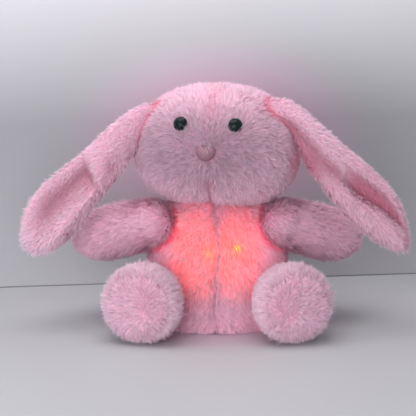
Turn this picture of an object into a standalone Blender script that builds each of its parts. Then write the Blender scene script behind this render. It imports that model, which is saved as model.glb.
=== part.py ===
"""Plush rabbit night light, sitting, with a light unit and a battery box inside.

Metres, +Z up. The origin is on the floor under the middle of the body, and
the rabbit faces -Y, so its own right side is at -X.
"""
import math

import bmesh
import bpy
import numpy as np
from mathutils import Matrix, Vector

# Clearances that several pieces share
SEW_GAP = 0.0004        # between two pieces that are sewn or pressed together
SOCKET_GAP = 0.0008     # round a limb's ball in its seat
OVERRUN = 0.004         # how far a cutter runs past the skin that it opens

# Body
BODY_HEIGHT = 0.134
BODY_HALF_WIDTH = 0.071
BODY_HALF_DEPTH = 0.062
BODY_SEAM_DEPTH = 0.0032
BODY_COLUMNS = 28
BODY_RINGS = 12
# height, half width and half depth, as shares of the three sizes above
BODY_OUTLINE_SHARES = (
    (0.00, 0.62, 0.60),
    (0.025, 0.76, 0.75),
    (0.10, 0.89, 0.90),
    (0.24, 0.975, 0.985),
    (0.40, 1.00, 1.00),
    (0.55, 0.99, 0.99),
    (0.68, 0.94, 0.945),
    (0.80, 0.85, 0.855),
    (0.90, 0.74, 0.74),
    (1.00, 0.60, 0.60),
)

# Head: round in side view, so that it rolls in the neck
HEAD_HALF_WIDTH = 0.0835
HEAD_RADIUS = 0.062
HEAD_SIDE = -0.0010
HEAD_FORWARD = 0.0080
HEAD_RISE = 0.0490       # from the top of the body to the middle of the head
HEAD_CENTRE = Vector((HEAD_SIDE, -HEAD_FORWARD, BODY_HEIGHT + HEAD_RISE))
HEAD_TURN = math.radians(-10)
HEAD_FULLNESS = 2.2
HEAD_COLUMNS = 28
HEAD_RINGS = 15
NECK_SEAT_COLUMNS = 34
CHIN_SEAM_DEPTH = 0.0035
CHIN_SEAM_WIDTH = 0.005
CHIN_SEAM_FROM = math.radians(-18)
CHIN_SEAM_TO = math.radians(-82)

# Eyes: a domed button on a shank, held by a washer inside the head
EYE_RADIUS = 0.0074
EYE_DOME = 0.0056
EYE_FLANGE = 0.0012
EYE_SINK = 0.0016
EYE_SPREAD = 0.0275
EYE_RISE = math.radians(30.5)
SHANK_RADIUS = 0.0019
SHANK_LENGTH = 0.0125
WASHER_RADIUS = 0.0076
WASHER_THICKNESS = 0.0014
WASHER_DEPTH = 0.0065

# Nose: a smooth soft triangle on the same shank and washer
NOSE_HALF_WIDTH = 0.0098
NOSE_HALF_HEIGHT = 0.0082
NOSE_DOME = 0.0062
NOSE_FLANGE = 0.0012
NOSE_SINK = 0.0012
NOSE_TAPER = 0.22
NOSE_RISE = math.radians(3.0)

# Ears: roots and tips from the middle of the head, left and right of the photograph
EAR_ROOT_PLACE = {"left": Vector((-0.0710, -0.0030, 0.0210)), "right": Vector((0.0725, -0.0220, 0.0265))}
EAR_TIP_PLACE = {"left": Vector((-0.1915, -0.0380, -0.0960)), "right": Vector((0.1805, -0.0480, -0.0975))}
EAR_ROOT = {side_name: HEAD_CENTRE + place for side_name, place in EAR_ROOT_PLACE.items()}
EAR_TIP = {side_name: HEAD_CENTRE + place for side_name, place in EAR_TIP_PLACE.items()}
EAR_HALF_WIDTH = 0.027
EAR_HALF_THICKNESS = 0.0095
EAR_CHANNEL_DEPTH = 0.0045
EAR_BOW = 0.005
EAR_ROOT_RADIUS = 0.0165
EAR_ROOT_HALF_THICKNESS = 0.0078
EAR_RINGS = 13
EAR_COLUMNS = 12
# place along the ear, half width and half thickness, as shares of the ear's own sizes
EAR_OUTLINE_SHARES = (
    (0.00, 0.56, 0.70),
    (0.12, 0.68, 0.86),
    (0.30, 0.85, 1.00),
    (0.50, 0.97, 1.00),
    (0.62, 1.00, 0.95),
    (0.75, 0.97, 0.90),
    (0.87, 0.83, 0.82),
    (0.95, 0.60, 0.66),
    (0.985, 0.38, 0.44),
    (1.00, 0.0, 0.0),
)

# Arms: a closed sack on a ball that is sunk in the body's side
ARM_BALL_RADIUS = 0.0255
ARM_HALF_THICKNESS = 0.0275
SHOULDER_OUT = 0.0710
SHOULDER_FORWARD = 0.0160
SHOULDER_DROP = 0.0290   # from the top of the body
SHOULDER = Vector((SHOULDER_OUT, -SHOULDER_FORWARD, BODY_HEIGHT - SHOULDER_DROP))
ARM_REACH = Vector((0.0750, 0.0300, -0.0270))
HAND_TIP = SHOULDER + ARM_REACH
ARM_RINGS = 9
ARM_COLUMNS = 18
ARM_OUTLINE_SHARES = (
    (0.00, 0.90),
    (0.10, 0.95),
    (0.25, 0.985),
    (0.45, 1.00),
    (0.62, 0.98),
    (0.78, 0.86),
    (0.89, 0.66),
    (0.96, 0.42),
    (1.00, 0.0),
)

# Legs: a ball at the hip and a sack that widens to a round foot
LEG_BALL_RADIUS = 0.0300
FOOT_RADIUS = 0.0400
FLOOR_CUT = 0.0005
HIP_OUT = 0.0640
HIP_FORWARD = 0.0480
HIP = Vector((HIP_OUT, -HIP_FORWARD, FOOT_RADIUS - FLOOR_CUT))
LEG_SPLAY = math.radians(14)
LEG_LENGTH = 0.0600
LEG_COLUMNS = 24
LEG_RINGS = 7
# place from the hip to the sole, and radius, as shares of the leg's sizes
LEG_OUTLINE_SHARES = (
    (0.00, 0.71),
    (0.16, 0.765),
    (0.34, 0.855),
    (0.55, 0.95),
    (0.72, 1.00),
    (0.86, 0.985),
    (0.95, 0.925),
    (1.00, 0.83),
)
SOLE_RADIUS = 0.0325
SOLE_THICKNESS = 0.0030
SOLE_DOME = 0.0035

# Tail
TAIL_RADIUS = 0.0165
TAIL_HEIGHT = 0.0240
TAIL_SINK = 0.0060

# Light unit: a round housing behind the belly, with its lens towards the front
LIGHT_SIDE = 0.0050
LIGHT_DROP = 0.0500      # from the top of the body
LIGHT_HEIGHT = BODY_HEIGHT - LIGHT_DROP
LIGHT_RADIUS = 0.0270
LIGHT_WALL = 0.0016
LIGHT_BACK = -0.0190
LIGHT_SPLIT = -0.0340
LENS_FRONT = -0.0500
LENS_LIP = 0.0030
LENS_FLATNESS = 0.8
BOARD_RADIUS = 0.0235
BOARD_THICKNESS = 0.0016
BOARD_POST_RADIUS = 0.0026
BOARD_POST_SPREAD = 0.0160
SCREW_RADIUS = 0.0011
SCREW_HEAD_RADIUS = 0.0021
SCREW_CROWN_RADIUS = 0.0015
SCREW_HEAD_HEIGHT = 0.0013
SCREW_LENGTH = 0.0060
SCREW_SLOT_WIDTH = 0.0005
SCREW_SLOT_DEPTH = 0.0006
LED_RADIUS = 0.0025
LED_FLANGE_RADIUS = 0.0029
LED_FLANGE_HEIGHT = 0.0010
LED_HEIGHT = 0.0086
LED_SPREAD = 0.0140
LEAD_OUTLET_DROP = 0.0090

# Battery box: an open tray with three cells and a screwed lid on its back
BOX_WALL = 0.0015
BOX_FRONT = 0.0270
BOX_DROP = 0.0610        # from the top of the body
BOX_CENTRE_HEIGHT = BODY_HEIGHT - BOX_DROP
BOX_ROUNDING = 0.0020
LID_THICKNESS = 0.0018
LID_RIM = 0.0012
LID_RIM_WALL = 0.0010
LID_GRIP_RIBS = 4
LID_GRIP_PITCH = 0.0022
LID_GRIP_LENGTH = 0.0140
LID_GRIP_RADIUS = 0.0004
CELL_RADIUS = 0.00525
CELL_LENGTH = 0.0445
CELL_GAP = 0.0009
CELL_PITCH = 2 * CELL_RADIUS + CELL_GAP
CELL_ROOM = 0.0085       # beside each cell, for its spring and its contact
CELL_COVER = 0.0045      # behind each cell, for the lid's rim and screw
BAY_CLEARANCE = 0.0008
SWITCH_STRIP = 0.0095    # below the cells
BAY_HEIGHT = 3 * CELL_PITCH + BAY_CLEARANCE
BOX_LENGTH = CELL_LENGTH + CELL_ROOM + 2 * BOX_WALL
BOX_HEIGHT = BOX_WALL + BAY_HEIGHT + SWITCH_STRIP
BOX_DEPTH = BOX_WALL + 2 * CELL_RADIUS + CELL_COVER
CELL_TIP_RADIUS = 0.0019
CELL_TIP_LENGTH = 0.0008
SPRING_RADIUS = 0.0030
SPRING_WIRE = 0.00035
SPRING_TURNS = 4
SPRING_POINTS_PER_TURN = 8
CONTACT_THICKNESS = 0.0004
CONTACT_SIZE = 0.0084
SWITCH_LENGTH = 0.0110
SWITCH_HEIGHT = 0.0044
SWITCH_SLOT_TRAVEL = 0.0030
KNOB_LENGTH = 0.0040
KNOB_WIDTH = 0.0030
KNOB_RISE = 0.0014
KNOB_STEM_DEPTH = 0.0030
LEAD_RADIUS = 0.0013
LEAD_DROOP = 0.0050
LEAD_POINTS = 15
LEAD_ROOM_HALF_WIDTH = 0.0220
LEAD_ROOM_BELOW = 0.0180
LEAD_ROOM_ABOVE = 0.0055

# Back flap: closes the pouch, sewn along its top edge, held by hook and loop strips below
FLAP_BESIDE = 0.0090      # past the battery box's ends
FLAP_ABOVE = 0.0070       # past its top
FLAP_BELOW = 0.0065       # past its bottom
FLAP_HALF_WIDTH = BOX_LENGTH / 2 + FLAP_BESIDE
FLAP_TOP = BOX_CENTRE_HEIGHT + BOX_HEIGHT / 2 + FLAP_ABOVE
FLAP_BOTTOM = BOX_CENTRE_HEIGHT - BOX_HEIGHT / 2 - FLAP_BELOW
FLAP_THICKNESS = 0.0028
STRIP_BESIDE = 0.0090     # the flap's width past each end of a strip
STRIP_HALF_WIDTH = FLAP_HALF_WIDTH - STRIP_BESIDE
STRIP_HEIGHT = 0.0050
STRIP_THICKNESS = 0.0009
STRIP_INSET = 0.0012
FLAP_COLUMNS = 10
STRIP_COLUMNS = 8
FLAP_ROWS = 6

# Segments of the round pieces
ROUND = 24
SMALL_ROUND = 14
TINY_ROUND = 8
SCREW_HOLE_ROUND = 12
STUD_ROUND = 14
CELL_ROUND = 16
BALL = 24
BALL_ROWS = 10
TAIL_ROWS = 8
EAR_ROOT_ROWS = 8
DOME_ROWS = 6
SOLE_ROWS = 3
LAMP_ROWS = 4

SHARP_ANGLE = math.radians(50)
PINK = (0.86, 0.40, 0.56)
PALE_PINK = (0.87, 0.45, 0.62)
SIDES = {"left": -1, "right": 1}


def clear_scene():
    for obj in list(bpy.data.objects):
        bpy.data.objects.remove(obj, do_unlink=True)


def material(name, colour, roughness, metallic=0.0):
    made = bpy.data.materials.new(name)
    made.use_nodes = True
    shader = made.node_tree.nodes["Principled BSDF"]
    shader.inputs["Base Color"].default_value = (*colour, 1.0)
    shader.inputs["Roughness"].default_value = roughness
    shader.inputs["Metallic"].default_value = metallic
    return made


def add_mesh(name, points, faces, look=None):
    """One closed body from its points and faces, with the faces turned outwards."""
    mesh = bpy.data.meshes.new(name)
    mesh.from_pydata([tuple(p) for p in points], [], faces)
    shape = bmesh.new()
    shape.from_mesh(mesh)
    bmesh.ops.recalc_face_normals(shape, faces=shape.faces)
    shape.to_mesh(mesh)
    shape.free()
    mesh.shade_smooth()
    mesh.set_sharp_from_angle(angle=SHARP_ANGLE)
    obj = bpy.data.objects.new(name, mesh)
    bpy.context.scene.collection.objects.link(obj)
    if look:
        mesh.materials.append(look)
    return obj


def loft(name, loops, look=None, close_start=None, close_end=None, ring=False):
    """A skin through closed loops of points; each end is a flat cap or runs to a point."""
    count = len(loops[0])
    points = [Vector(p) for loop in loops for p in loop]
    spans = len(loops) if ring else len(loops) - 1
    faces = []
    for i in range(spans):
        here = i * count
        there = (i + 1) % len(loops) * count
        for j in range(count):
            k = (j + 1) % count
            faces.append((here + j, here + k, there + k, there + j))
    if not ring:
        for first, tip in ((0, close_start), ((len(loops) - 1) * count, close_end)):
            if tip is None:
                faces.append(tuple(range(first, first + count)))
                continue
            points.append(Vector(tip))
            last = len(points) - 1
            faces += [(first + j, first + (j + 1) % count, last) for j in range(count)]
    return add_mesh(name, points, faces, look)


def lathe(name, profile, frame, segments, look=None, ring=False):
    """Turns (radius, height) pairs about the frame's Z axis; a zero radius is a point."""
    start = end = None
    body = list(profile)
    if not ring and body[0][0] == 0:
        start = frame @ Vector((0, 0, body.pop(0)[1]))
    if not ring and body[-1][0] == 0:
        end = frame @ Vector((0, 0, body.pop()[1]))
    turns = [2 * math.pi * j / segments for j in range(segments)]
    loops = [
        [frame @ Vector((r * math.cos(t), r * math.sin(t), h)) for t in turns]
        for r, h in body
    ]
    return loft(name, loops, look, start, end, ring)


def frame_at(origin, axis):
    """A frame with its origin at a point and its Z along an axis."""
    turn = Vector((0, 0, 1)).rotation_difference(Vector(axis).normalized())
    return Matrix.Translation(origin) @ turn.to_matrix().to_4x4()


def box(name, low, high, look=None, rounding=0.0):
    low = Vector(low)
    high = Vector(high)
    corners = [(x, y, z) for x in (low.x, high.x) for y in (low.y, high.y) for z in (low.z, high.z)]
    faces = [(0, 1, 3, 2), (4, 6, 7, 5), (0, 4, 5, 1), (2, 3, 7, 6), (0, 2, 6, 4), (1, 5, 7, 3)]
    obj = add_mesh(name, corners, faces, look)
    if rounding:
        bevel = obj.modifiers.new("rounding", "BEVEL")
        bevel.width = rounding
        bevel.segments = 2
    return obj


def smooth_rows(rows, count):
    """Evenly spaced rows read from a smooth curve through a short table of rows."""
    table = np.array(rows, dtype=float)
    steps = np.linspace(0, len(table) - 1, count)
    padded = np.vstack([2 * table[0] - table[1], table, 2 * table[-1] - table[-2]])
    made = []
    for s in steps:
        i = min(int(s), len(table) - 2)
        t = s - i
        p0, p1, p2, p3 = padded[i:i + 4]
        made.append(0.5 * (2 * p1 + (p2 - p0) * t + (2 * p0 - 5 * p1 + 4 * p2 - p3) * t ** 2
                           + (3 * p1 - p0 - 3 * p2 + p3) * t ** 3))
    return np.array(made)


def sphere_rows(radius, rows):
    """The (radius, height) pairs of a ball, pole to pole."""
    turns = [math.pi * i / rows for i in range(rows + 1)]
    inner = [(radius * math.sin(t), -radius * math.cos(t)) for t in turns[1:-1]]
    return [(0, -radius)] + inner + [(0, radius)]


def modify(target, tool, operation):
    tool.hide_render = True
    tool.display_type = "WIRE"
    step = target.modifiers.new(tool.name, "BOOLEAN")
    step.operation = operation
    step.object = tool


def cut(target, tool):
    modify(target, tool, "DIFFERENCE")


def add(target, tool):
    modify(target, tool, "UNION")


def set_origin(obj, point):
    """Moves an object's origin to its joint without moving the shape."""
    obj.data.transform(Matrix.Translation(-Vector(point)))
    obj.location = point


def mirrored(point, side):
    return Vector((point.x * side, point.y, point.z))


def body_form(name, gap, look=None):
    """The body's skin, larger all round by a gap; the seam down its front is drawn in."""
    loops = []
    for height, width, depth in smooth_rows(BODY_OUTLINE_SHARES, BODY_RINGS):
        loop = []
        for j in range(BODY_COLUMNS):
            t = 2 * math.pi * j / BODY_COLUMNS
            seam = BODY_SEAM_DEPTH * width if j == 0 and not gap else 0.0
            x = (BODY_HALF_WIDTH * width + gap) * math.sin(t)
            y = seam - (BODY_HALF_DEPTH * depth + gap) * math.cos(t)
            loop.append((x, y, BODY_HEIGHT * height))
        loops.append(loop)
    return loft(name, loops, look)


def make_body(looks):
    body = body_form("body", 0.0, looks["fur"])
    cut(body, head_form("neck_seat", SOCKET_GAP, NECK_SEAT_COLUMNS, HEAD_RINGS, False))
    for side_name, side in SIDES.items():
        shoulder = frame_at(mirrored(SHOULDER, side), (side, 0, 0))
        arm_seat = sphere_rows(ARM_BALL_RADIUS + SOCKET_GAP, BALL_ROWS)
        cut(body, lathe(f"arm_seat_{side_name}", arm_seat, shoulder, BALL))
        hip = frame_at(mirrored(HIP, side), leg_axis(side))
        leg_seat = sphere_rows(LEG_BALL_RADIUS + SOCKET_GAP, BALL_ROWS)
        cut(body, lathe(f"leg_seat_{side_name}", leg_seat, hip, BALL))
    dome = lens_dome(LIGHT_RADIUS + SEW_GAP, LIGHT_SPLIT, LENS_FRONT - SEW_GAP)
    light_seat = dome + [(LIGHT_RADIUS + SEW_GAP, BOX_FRONT - OVERRUN), (0, BOX_FRONT - OVERRUN)]
    light_axis = frame_at((LIGHT_SIDE, 0, LIGHT_HEIGHT), (0, 1, 0))
    cut(body, lathe("light_seat", light_seat, light_axis, BALL))
    half_length = BOX_LENGTH / 2 + SEW_GAP
    half_height = BOX_HEIGHT / 2 + SEW_GAP
    pouch_low = (-half_length, BOX_FRONT - SEW_GAP, BOX_CENTRE_HEIGHT - half_height)
    pouch_high = (half_length, BODY_HALF_DEPTH + OVERRUN, BOX_CENTRE_HEIGHT + half_height)
    cut(body, box("pouch", pouch_low, pouch_high))
    lead_heights = (lead_start().z, lead_end().z)
    lead_room_low = (-LEAD_ROOM_HALF_WIDTH, LIGHT_BACK, min(lead_heights) - LEAD_ROOM_BELOW)
    lead_room_high = (LEAD_ROOM_HALF_WIDTH, BOX_FRONT + OVERRUN, max(lead_heights) + LEAD_ROOM_ABOVE)
    cut(body, box("lead_room", lead_room_low, lead_room_high))
    return body


def body_half_sizes(height):
    """The body's half width and half depth at a height."""
    rows = smooth_rows(BODY_OUTLINE_SHARES, BODY_RINGS)
    width = np.interp(height, rows[:, 0] * BODY_HEIGHT, rows[:, 1] * BODY_HALF_WIDTH)
    depth = np.interp(height, rows[:, 0] * BODY_HEIGHT, rows[:, 2] * BODY_HALF_DEPTH)
    return width, depth


def body_back(x, height):
    """Where the body's back lies, at a place across and up."""
    width, depth = body_half_sizes(height)
    return depth * math.sqrt(max(0.0, 1 - (x / width) ** 2))


def head_frame():
    return Matrix.Translation(HEAD_CENTRE) @ Matrix.Rotation(HEAD_TURN, 4, "Z")


def head_radius(x):
    """The head's radius about its own X axis, a distance x from its middle."""
    share = min(1.0, abs(x) / HEAD_HALF_WIDTH)
    return HEAD_RADIUS * math.sqrt(1 - share ** HEAD_FULLNESS)


def head_form(name, gap, columns, rings, with_seam, look=None):
    """The head as a form turned about its own X axis, larger all round by a gap."""
    frame = head_frame()
    grow = 1 + gap / HEAD_RADIUS
    loops = []
    for i in range(1, rings + 1):
        x = -HEAD_HALF_WIDTH * math.cos(math.pi * i / (rings + 1))
        loop = []
        for j in range(columns):
            rise = 2 * math.pi * j / columns
            radius = head_radius(x)
            if with_seam:
                radius -= chin_seam(x, rise)
            forward = -radius * math.cos(rise)
            loop.append(frame @ (Vector((x, forward, radius * math.sin(rise))) * grow))
        loops.append(loop)
    end = HEAD_HALF_WIDTH * grow
    return loft(name, loops, look, frame @ Vector((-end, 0, 0)), frame @ Vector((end, 0, 0)))


def chin_seam(x, rise):
    """How deep the seam under the nose is drawn in."""
    rise = math.atan2(math.sin(rise), math.cos(rise))
    if not CHIN_SEAM_TO < rise < CHIN_SEAM_FROM:
        return 0.0
    along = (rise - CHIN_SEAM_TO) / (CHIN_SEAM_FROM - CHIN_SEAM_TO)
    return CHIN_SEAM_DEPTH * math.sin(math.pi * along) * math.exp(-(x / CHIN_SEAM_WIDTH) ** 2)


def face_frame(x, rise):
    """A frame on the head's skin, Z pointing out, Y pointing up."""
    radius = head_radius(x)
    slope = (head_radius(x + SEW_GAP) - head_radius(x - SEW_GAP)) / (2 * SEW_GAP)
    out = Vector((-slope, -math.cos(rise), math.sin(rise))).normalized()
    place = Vector((x, -radius * math.cos(rise), radius * math.sin(rise)))
    across = Vector((0, 0, 1)).cross(out).normalized()
    up = out.cross(across)
    turn = Matrix((across, up, out)).transposed().to_4x4()
    return head_frame() @ Matrix.Translation(place) @ turn


def make_head(looks):
    head = head_form("head", 0.0, HEAD_COLUMNS, HEAD_RINGS, True, looks["fur"])
    for side_name, side in SIDES.items():
        ear_seat = ear_root_rows(SOCKET_GAP)
        root_frame = frame_at(EAR_ROOT[side_name], ear_axes(side_name)[2])
        cut(head, lathe(f"ear_seat_{side_name}", ear_seat, root_frame, BALL))
        place = face_frame(side * EYE_SPREAD, EYE_RISE)
        cut(head, stud_seat(f"eye_seat_{side_name}", place, EYE_RADIUS, EYE_SINK))
    nose_place = face_frame(0, NOSE_RISE)
    shape = nose_loop(SEW_GAP)
    loops = [[nose_place @ Vector((x, y, h)) for x, y in shape] for h in (-NOSE_SINK - SEW_GAP, OVERRUN)]
    cut(head, loft("nose_seat", loops))
    cut(head, stud_seat("nose_stud_seat", nose_place, SHANK_RADIUS, NOSE_SINK))
    set_origin(head, HEAD_CENTRE)
    return head


def stud_seat(name, place, radius, sink):
    """The room in the head for a button, its shank and its washer, as one turned form."""
    wide = radius + SEW_GAP
    hole = SHANK_RADIUS + SEW_GAP
    pocket = WASHER_RADIUS + SEW_GAP
    pocket_top = -WASHER_DEPTH + SEW_GAP
    pocket_floor = -WASHER_DEPTH - WASHER_THICKNESS - SEW_GAP
    bottom = -SHANK_LENGTH - SEW_GAP
    profile = [
        (0, OVERRUN), (wide, OVERRUN), (wide, -sink - SEW_GAP), (hole, -sink - SEW_GAP),
        (hole, pocket_top), (pocket, pocket_top), (pocket, pocket_floor),
        (hole, pocket_floor), (hole, bottom), (0, bottom),
    ]
    if radius == SHANK_RADIUS:
        profile = [(0, OVERRUN), (hole, OVERRUN)] + profile[4:]
    return lathe(name, profile, place, STUD_ROUND)


def washer(name, place, looks):
    hole = SHANK_RADIUS + SEW_GAP
    low = -WASHER_DEPTH - WASHER_THICKNESS
    profile = [(hole, -WASHER_DEPTH), (WASHER_RADIUS, -WASHER_DEPTH), (WASHER_RADIUS, low), (hole, low)]
    lathe(name, profile, place, STUD_ROUND, looks["clear"], ring=True)


def make_eyes(looks):
    for side_name, side in SIDES.items():
        place = face_frame(side * EYE_SPREAD, EYE_RISE)
        turns = [math.pi / 2 * i / DOME_ROWS for i in range(DOME_ROWS)]
        dome = [(EYE_RADIUS * math.cos(t), EYE_FLANGE - EYE_SINK + EYE_DOME * math.sin(t)) for t in turns]
        profile = [(0, -SHANK_LENGTH), (SHANK_RADIUS / 2, -SHANK_LENGTH)]
        profile += [(SHANK_RADIUS, -SHANK_LENGTH + SHANK_RADIUS), (SHANK_RADIUS, -EYE_SINK)]
        profile += [(EYE_RADIUS, -EYE_SINK)] + dome + [(0, EYE_FLANGE - EYE_SINK + EYE_DOME)]
        lathe(f"eye_{side_name}", profile, place, ROUND, looks["black"])
        washer(f"eye_washer_{side_name}", place, looks)


def nose_loop(gap=0.0):
    """The nose's outline, wider at the top than at the bottom."""
    made = []
    for j in range(ROUND):
        t = 2 * math.pi * j / ROUND
        wide = (NOSE_HALF_WIDTH + gap) * math.cos(t) * (1 + NOSE_TAPER * math.sin(t))
        made.append((wide, (NOSE_HALF_HEIGHT + gap) * math.sin(t)))
    return made


def make_nose(looks):
    place = face_frame(0, NOSE_RISE)
    outline = nose_loop()
    loops = []
    turns = [2 * math.pi * k / ROUND for k in range(ROUND)]
    shank = [(SHANK_RADIUS * math.cos(t), SHANK_RADIUS * math.sin(t)) for t in turns]
    for height in (-SHANK_LENGTH, -NOSE_SINK):
        loops.append([place @ Vector((x, y, height)) for x, y in shank])
    loops.append([place @ Vector((x, y, -NOSE_SINK)) for x, y in outline])
    for i in range(DOME_ROWS):
        t = math.pi / 2 * i / DOME_ROWS
        height = NOSE_FLANGE - NOSE_SINK + NOSE_DOME * math.sin(t)
        loops.append([place @ Vector((x * math.cos(t), y * math.cos(t), height)) for x, y in outline])
    top = place @ Vector((0, 0, NOSE_FLANGE - NOSE_SINK + NOSE_DOME))
    bottom = place @ Vector((0, 0, -SHANK_LENGTH))
    loft("nose", loops, looks["nose"], bottom, top)
    washer("nose_washer", place, looks)


def ear_axes(side_name):
    """The ear's length direction, its width direction, which points up, and its hinge axis."""
    along = (EAR_TIP[side_name] - EAR_ROOT[side_name]).normalized()
    front = Vector((0, -1, 0))
    face = (front - along * front.dot(along)).normalized()
    up = along.cross(face)
    if up.z < 0:
        up = -up
    return along, up, along.cross(up)


def ear_root_rows(gap):
    """The ear's rounded root, turned about the hinge axis so that it turns in its seat."""
    turns = [math.pi * i / EAR_ROOT_ROWS for i in range(EAR_ROOT_ROWS + 1)]
    radius = EAR_ROOT_RADIUS + gap
    half = EAR_ROOT_HALF_THICKNESS + gap
    inner = [(radius * math.sin(t), -half * math.cos(t)) for t in turns[1:-1]]
    return [(0, -half)] + inner + [(0, half)]


def make_ears(looks):
    for side_name in SIDES:
        root = EAR_ROOT[side_name]
        along, up, hinge = ear_axes(side_name)
        length = (EAR_TIP[side_name] - root).length
        face = hinge if hinge.y < 0 else -hinge
        loops = []
        for place, width, thick in smooth_rows(EAR_OUTLINE_SHARES, EAR_RINGS)[:-1]:
            bow = EAR_BOW * math.sin(math.pi * place)
            loop = []
            for j in range(EAR_COLUMNS):
                t = 2 * math.pi * j / EAR_COLUMNS
                across = math.cos(t)
                raised = EAR_HALF_THICKNESS * thick * math.sin(t)
                if raised > 0:
                    raised -= EAR_CHANNEL_DEPTH * width * math.sin(math.pi * place) * (1 - across ** 2) ** 2
                centre = root + along * (length * place) + face * bow
                loop.append(centre + up * (EAR_HALF_WIDTH * width * across) + face * raised)
            loops.append(loop)
        ear = loft(f"ear_{side_name}", loops, looks["fur"], close_end=EAR_TIP[side_name])
        head_room = head_form(f"ear_cut_{side_name}", SOCKET_GAP, HEAD_COLUMNS, HEAD_RINGS, False)
        cut(ear, head_room)
        disc = lathe(f"ear_root_{side_name}", ear_root_rows(0.0), frame_at(root, hinge), BALL)
        add(ear, disc)
        set_origin(ear, root)


def seat_limb(limb, ball_radius, frame):
    """Fits a limb to the body's side and gives it the ball that turns in its seat."""
    cut(limb, body_form(f"{limb.name}_cut", SOCKET_GAP))
    add(limb, lathe(f"{limb.name}_ball", sphere_rows(ball_radius, BALL_ROWS), frame, BALL))
    set_origin(limb, frame.translation)


def make_arms(looks):
    outline = smooth_rows(ARM_OUTLINE_SHARES, ARM_RINGS)
    for side_name, side in SIDES.items():
        start = mirrored(SHOULDER, side)
        reach = mirrored(HAND_TIP, side) - start
        profile = [(0, 0)]
        profile += [(ARM_HALF_THICKNESS * width, reach.length * place) for place, width in outline[:-1]]
        profile.append((0, reach.length))
        frame = frame_at(start, reach)
        arm = lathe(f"arm_{side_name}", profile, frame, ARM_COLUMNS, looks["fur"])
        seat_limb(arm, ARM_BALL_RADIUS, frame)


def leg_axis(side):
    return Vector((side * math.sin(LEG_SPLAY), -math.cos(LEG_SPLAY), 0))


def make_legs(looks):
    outline = smooth_rows(LEG_OUTLINE_SHARES, LEG_RINGS)
    for side_name, side in SIDES.items():
        hip = mirrored(HIP, side)
        frame = frame_at(hip, leg_axis(side))
        profile = [(0, 0)]
        profile += [(FOOT_RADIUS * width, LEG_LENGTH * place) for place, width in outline]
        profile.append((SOLE_RADIUS + SEW_GAP, LEG_LENGTH))
        profile.append((SOLE_RADIUS + SEW_GAP, LEG_LENGTH - SOLE_THICKNESS))
        profile.append((0, LEG_LENGTH - SOLE_THICKNESS))
        leg = lathe(f"leg_{side_name}", profile, frame, LEG_COLUMNS, looks["fur"])
        reach = LEG_LENGTH + FOOT_RADIUS
        floor_low = hip + Vector((-reach, -reach, -reach))
        floor_high = hip + Vector((reach, reach, 0))
        floor_high.z = 0
        cut(leg, box(f"floor_{side_name}", floor_low, floor_high))
        seat_limb(leg, LEG_BALL_RADIUS, frame)
        low = LEG_LENGTH - SOLE_THICKNESS + SEW_GAP
        sole_profile = [(0, low), (SOLE_RADIUS, low), (SOLE_RADIUS, LEG_LENGTH)]
        for i in range(1, SOLE_ROWS):
            t = math.pi / 2 * i / SOLE_ROWS
            sole_profile.append((SOLE_RADIUS * math.cos(t), LEG_LENGTH + SOLE_DOME * math.sin(t)))
        sole_profile.append((0, LEG_LENGTH + SOLE_DOME))
        sole = lathe(f"sole_{side_name}", sole_profile, frame, LEG_COLUMNS, looks["sole"])
        set_origin(sole, hip)


def make_tail(looks):
    back = body_back(0, TAIL_HEIGHT)
    place = frame_at((0, back + TAIL_RADIUS - TAIL_SINK, TAIL_HEIGHT), (0, 1, 0))
    tail = lathe("tail", sphere_rows(TAIL_RADIUS, TAIL_ROWS), place, SMALL_ROUND, looks["fur"])
    cut(tail, body_form("tail_cut", SEW_GAP))


def make_light(looks):
    axis = frame_at((LIGHT_SIDE, 0, LIGHT_HEIGHT), (0, 1, 0))
    inner = LIGHT_RADIUS - LIGHT_WALL
    floor = LIGHT_BACK - LIGHT_WALL
    cup = [(0, LIGHT_BACK), (LIGHT_RADIUS - LIGHT_WALL, LIGHT_BACK), (LIGHT_RADIUS, floor),
           (LIGHT_RADIUS, LIGHT_SPLIT), (inner, LIGHT_SPLIT), (inner, floor), (0, floor)]
    housing = lathe("light_housing", cup, axis, BALL, looks["white"])
    board_back = LIGHT_SPLIT + LENS_LIP + BOARD_THICKNESS + SEW_GAP
    post_frames = board_post_frames()
    for index, post_frame in enumerate(post_frames):
        post = [(0, board_back + SEW_GAP), (BOARD_POST_RADIUS, board_back + SEW_GAP),
                (BOARD_POST_RADIUS, floor + LIGHT_WALL / 2), (0, floor + LIGHT_WALL / 2)]
        add(housing, lathe(f"board_post_{index + 1}", post, post_frame, SMALL_ROUND))
    for index, post_frame in enumerate(post_frames):
        hole_radius = SCREW_RADIUS + SEW_GAP
        hole = [(0, board_back - OVERRUN), (hole_radius, board_back - OVERRUN),
                (hole_radius, board_back + SCREW_LENGTH), (0, board_back + SCREW_LENGTH)]
        cut(housing, lathe(f"screw_hole_{index + 1}", hole, post_frame, SCREW_HOLE_ROUND))
    lead_hole = frame_at(lead_start(), (0, 1, 0))
    cut(housing, lathe("housing_lead_hole", lead_hole_rows(), lead_hole, SMALL_ROUND))
    make_lens(looks, axis)
    make_board(looks, axis, board_back)


def lead_hole_rows():
    radius = LEAD_RADIUS + SEW_GAP
    return [(0, -OVERRUN), (radius, -OVERRUN), (radius, OVERRUN), (0, OVERRUN)]


def board_post_frames():
    heights = [LIGHT_HEIGHT + side * BOARD_POST_SPREAD for side in (-1, 1)]
    return [frame_at((LIGHT_SIDE, 0, height), (0, 1, 0)) for height in heights]


def lens_dome(radius, rim, front):
    """A flattish dome, from its middle at the front to its rim, as (radius, place) pairs."""
    turns = [math.pi / 2 * (DOME_ROWS - i) / DOME_ROWS for i in range(1, DOME_ROWS + 1)]
    return [(0, front)] + [
        (radius * math.cos(t), rim - (rim - front) * math.sin(t) ** LENS_FLATNESS) for t in turns
    ]


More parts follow.
